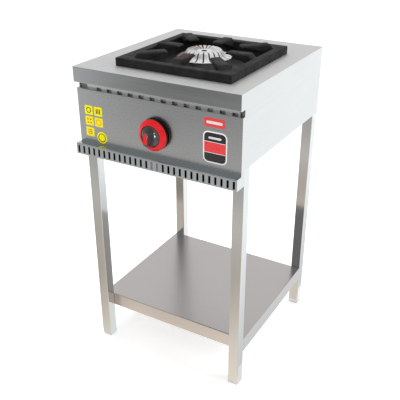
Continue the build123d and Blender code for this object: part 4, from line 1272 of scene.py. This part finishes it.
# Floor, lamps and background
studio = {
    "floorSize": 40.0,
    "floorColour": (0.86, 0.86, 0.86),
    "floorDeeper": 0.985,
    "floorMottle": 3.0,
    "floorRough": 0.9,
    "floorGloss": 0.1,
    "floorGlow": 0.42,
    "worldGlow": 0.70,
    "softBoxes": [
        # name, place, aimed at, size, power
        ("rightBox", (2.8, 0.6, 1.9), (0.0, 0.0, 0.5), 1.6, 40.0),
        ("backBox", (-0.7, 0.9, 3.0), (0.0, 0.0, 0.8), 1.8, 36.0),
        ("frontBox", (-0.6, -2.8, 1.6), (0.0, 0.0, 0.7), 1.6, 22.0),
    ],
    # the cards that follow are what the steel mirrors
    "cardRise": 0.002,
    "matCorners": ((-6.0, -3.4), (1.6, -0.22)),  # on the floor ahead, darker with distance and in patches
    "matNear": 1.38,
    "matFade": 1.868,
    "matWarm": (1.0, 0.91, 0.80),
    "matCool": (0.95, 0.99, 1.0),
    "matTintBand": (-1.8, -0.5),
    "matLeft": 2.75,
    "matLeftBand": (-2.4, -1.5),
    "patchCore": 0.2,
    "matPatches": [
        # place, reach, share of the light in its middle
        ((-0.80, -0.50, 0.0), 0.45, 0.50),
        ((-0.55, -0.28, 0.0), 0.35, 0.42),
        ((-0.10, -0.62, 0.0), 0.35, 0.72),
        ((-0.08, -0.33, 0.0), 0.32, 0.87),
        ((-0.20, -1.07, 0.0), 0.25, 1.09),
        ((-1.50, -2.75, 0.0), 0.95, 0.37),
        ((-0.90, -2.55, 0.0), 0.40, 1.14),
        ((-1.45, -1.85, 0.0), 0.55, 1.25),
        ((-0.42, -1.70, 0.0), 0.40, 1.20),
    ],
    "wallPlace": -3.4,  # beyond the mat
    "wallReach": (-14.0, 8.0),
    "wallHeight": 14.0,
    "wallGlow": 0.36,
    "wallColour": (0.95, 1.0, 1.02),
    "sheetCorners": ((0.262, -0.6), (5.0, 6.0)),  # on the floor to the right
    "sheetGlow": 1.42,
    "sheetNear": 0.62,
    "sheetBand": (0.262, 0.62),
    "sheetColour": (0.95, 0.985, 1.0),
    "ceilingCorners": ((-16.0, 0.5), (10.0, 18.0)),  # brighter towards the back, and dim far away
    "ceilingHeight": 3.4,
    "ceilingNear": 0.78,
    "ceilingFar": 0.98,
    "ceilingBand": (4.9, 7.3),
    "ceilingEnd": 0.40,
    "ceilingEndBand": (7.4, 9.8),
    "farWallPlace": 18.0,
    "farWallGlow": 0.30,
    "sideMatCorners": ((-6.0, -0.22), (-0.26, 0.9)),  # on the floor to the left
    "sideMatGlow": 0.72,
    "underCorners": ((-0.25, -0.21), (0.23, 0.21)),  # on the floor under the shelf
    "underGlow": (1.22, 0.98),  # left, right
    "underCool": (0.90, 0.98, 1.0),
    # small lamps for the glints on the knob alone
    "glintPlaces": [(-0.73, -3.00, 0.355), (-0.55, -2.20, 0.12)],
    "glintSize": 0.17,
    "glintPower": 8.0,
}


def seenByViewer(tree):
    path = tree.nodes.new("ShaderNodeLightPath").outputs
    shown = combine("MAXIMUM", path["Is Camera Ray"], path["Is Glossy Ray"])
    return combine("MAXIMUM", shown, path["Is Transmission Ray"])


def flatSheet(name, corners):
    mesh = bpy.data.meshes.new(name)
    mesh.from_pydata(corners, [], [(0, 1, 2, 3)])
    sheet = bpy.data.objects.new(name, mesh)
    scene.collection.objects.link(sheet)
    sheet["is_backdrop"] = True
    return sheet


def layFlat(corners, rise):
    (left, near), (right, far) = corners
    return [(left, near, rise), (right, near, rise), (right, far, rise), (left, far, rise)]


def standUp(reach, away, high):
    left, right = reach
    return [(left, away, 0.0), (right, away, 0.0), (right, away, high), (left, away, high)]


def addFloor():
    half = studio["floorSize"] / 2
    floor = flatSheet("floor", layFlat(((-half, -half), (half, half)), 0.0))
    material, place = startMaterial("floorPaper")
    mottle = spread(addNoise(place, studio["floorMottle"]), 0.0, 1.0)
    pale = studio["floorColour"]
    deeper = tuple(channel * studio["floorDeeper"] for channel in pale)
    colour = mixColours(mottle, deeper, pale)
    shader = dressMaterial(material, colour, studio["floorRough"], gloss=studio["floorGloss"])
    feed(shader["Emission Color"], white)
    glow = combine("MULTIPLY", seenByViewer(material.node_tree), studio["floorGlow"])
    feed(shader["Emission Strength"], glow)
    floor.data.materials.append(material)


def addCard(name, corners, strength=1.0, colour=white):  # seen only as a reflection
    card = flatSheet(name, corners)
    card.visible_camera = card.visible_diffuse = False
    card.visible_transmission = card.visible_shadow = False
    material = bpy.data.materials.new(name)
    material.use_nodes = True
    tree = material.node_tree
    tree.nodes.clear()
    glow = tree.nodes.new("ShaderNodeEmission")
    out = tree.nodes.new("ShaderNodeOutputMaterial")
    wire(glow.outputs["Emission"], out.inputs["Surface"])
    feed(glow.inputs["Strength"], strength)
    feed(glow.inputs["Color"], colour)
    card.data.materials.append(material)
    return glow.inputs, tree.nodes.new("ShaderNodeTexCoord").outputs["Object"]


def addMat():
    glow, spot = addCard("greyMat", layFlat(studio["matCorners"], studio["cardRise"]))
    place = splitPlace(spot)
    fade = combine("MULTIPLY", combine("POWER", studio["matFade"], place["Y"]), studio["matNear"])
    left = spread(place["X"], studio["matLeft"], 1.0, *studio["matLeftBand"])
    shown = combine("MULTIPLY", fade, left)
    for middle, reach, share in studio["matPatches"]:
        away = combineVectors("DISTANCE", spot, middle)["Value"]
        patch = spread(away, share, 1.0, studio["patchCore"] * reach, reach)
        shown = combine("MULTIPLY", shown, patch)
    wire(shown, glow["Strength"])
    near = spread(place["Y"], 0.0, 1.0, *studio["matTintBand"])
    wire(mixColours(near, studio["matCool"], studio["matWarm"]), glow["Color"])


def addCards():
    rise = studio["cardRise"]
    addMat()
    wall = standUp(studio["wallReach"], studio["wallPlace"], studio["wallHeight"])
    addCard("greyWall", wall, studio["wallGlow"], studio["wallColour"])
    sheet = layFlat(studio["sheetCorners"], rise)
    glow, spot = addCard("brightSheet", sheet, colour=studio["sheetColour"])
    near = spread(splitPlace(spot)["X"], studio["sheetNear"], 1.0, *studio["sheetBand"])
    wire(combine("MULTIPLY", near, studio["sheetGlow"]), glow["Strength"])
    glow, spot = addCard("paleCeiling", layFlat(studio["ceilingCorners"], studio["ceilingHeight"]))
    along = splitPlace(spot)["Y"]
    shown = spread(along, studio["ceilingNear"], studio["ceilingFar"], *studio["ceilingBand"])
    ending = spread(along, 1.0, studio["ceilingEnd"], *studio["ceilingEndBand"])
    wire(combine("MULTIPLY", shown, ending), glow["Strength"])
    reach = [corner[0] for corner in studio["ceilingCorners"]]
    wall = standUp(reach, studio["farWallPlace"], studio["ceilingHeight"])
    addCard("farWall", wall, studio["farWallGlow"])
    addCard("sideMat", layFlat(studio["sideMatCorners"], rise), studio["sideMatGlow"], studio["matWarm"])
    glow, spot = addCard("underSheet", layFlat(studio["underCorners"], rise))
    across = splitPlace(spot)["X"]
    ends = [corner[0] for corner in studio["underCorners"]]
    wire(spread(across, *studio["underGlow"], *ends), glow["Strength"])
    warm = spread(across, 0.0, 1.0, *ends)
    wire(mixColours(warm, studio["underCool"], studio["matWarm"]), glow["Color"])


def addWorld():
    world = bpy.data.worlds.new("studio")
    world.use_nodes = True
    scene.world = world
    tree = world.node_tree
    background = tree.nodes["Background"]
    feed(background.inputs["Color"], white)
    strength = spread(seenByViewer(tree), studio["worldGlow"], 1.0, 0.0, 1.0)
    wire(strength, background.inputs["Strength"])


def addLamp(name, place, target, size, power):
    lamp = bpy.data.lights.new(name, "AREA")
    lamp.shape = "SQUARE"
    lamp.size = size
    lamp.energy = power
    holder = bpy.data.objects.new(name, lamp)
    scene.collection.objects.link(holder)
    holder.location = place
    holder.rotation_euler = (Vector(target) - Vector(place)).to_track_quat("-Z", "Y").to_euler()
    holder.visible_camera = False
    return holder


def addLamps():
    for settings in studio["softBoxes"]:
        addLamp(*settings).visible_glossy = False
    shiny = bpy.data.collections.new("knobShine")
    shiny.objects.link(knobBody)
    for count, place in enumerate(studio["glintPlaces"]):
        glint = addLamp("glint" + str(count), place, knob, studio["glintSize"], studio["glintPower"])
        glint.light_linking.receiver_collection = shiny


addFloor()
addCards()
addWorld()
addLamps()
print("stage lit")


{name: [list(corner) for corner in box] for name, box in (("cad", cadBox), ("visual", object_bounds()))}
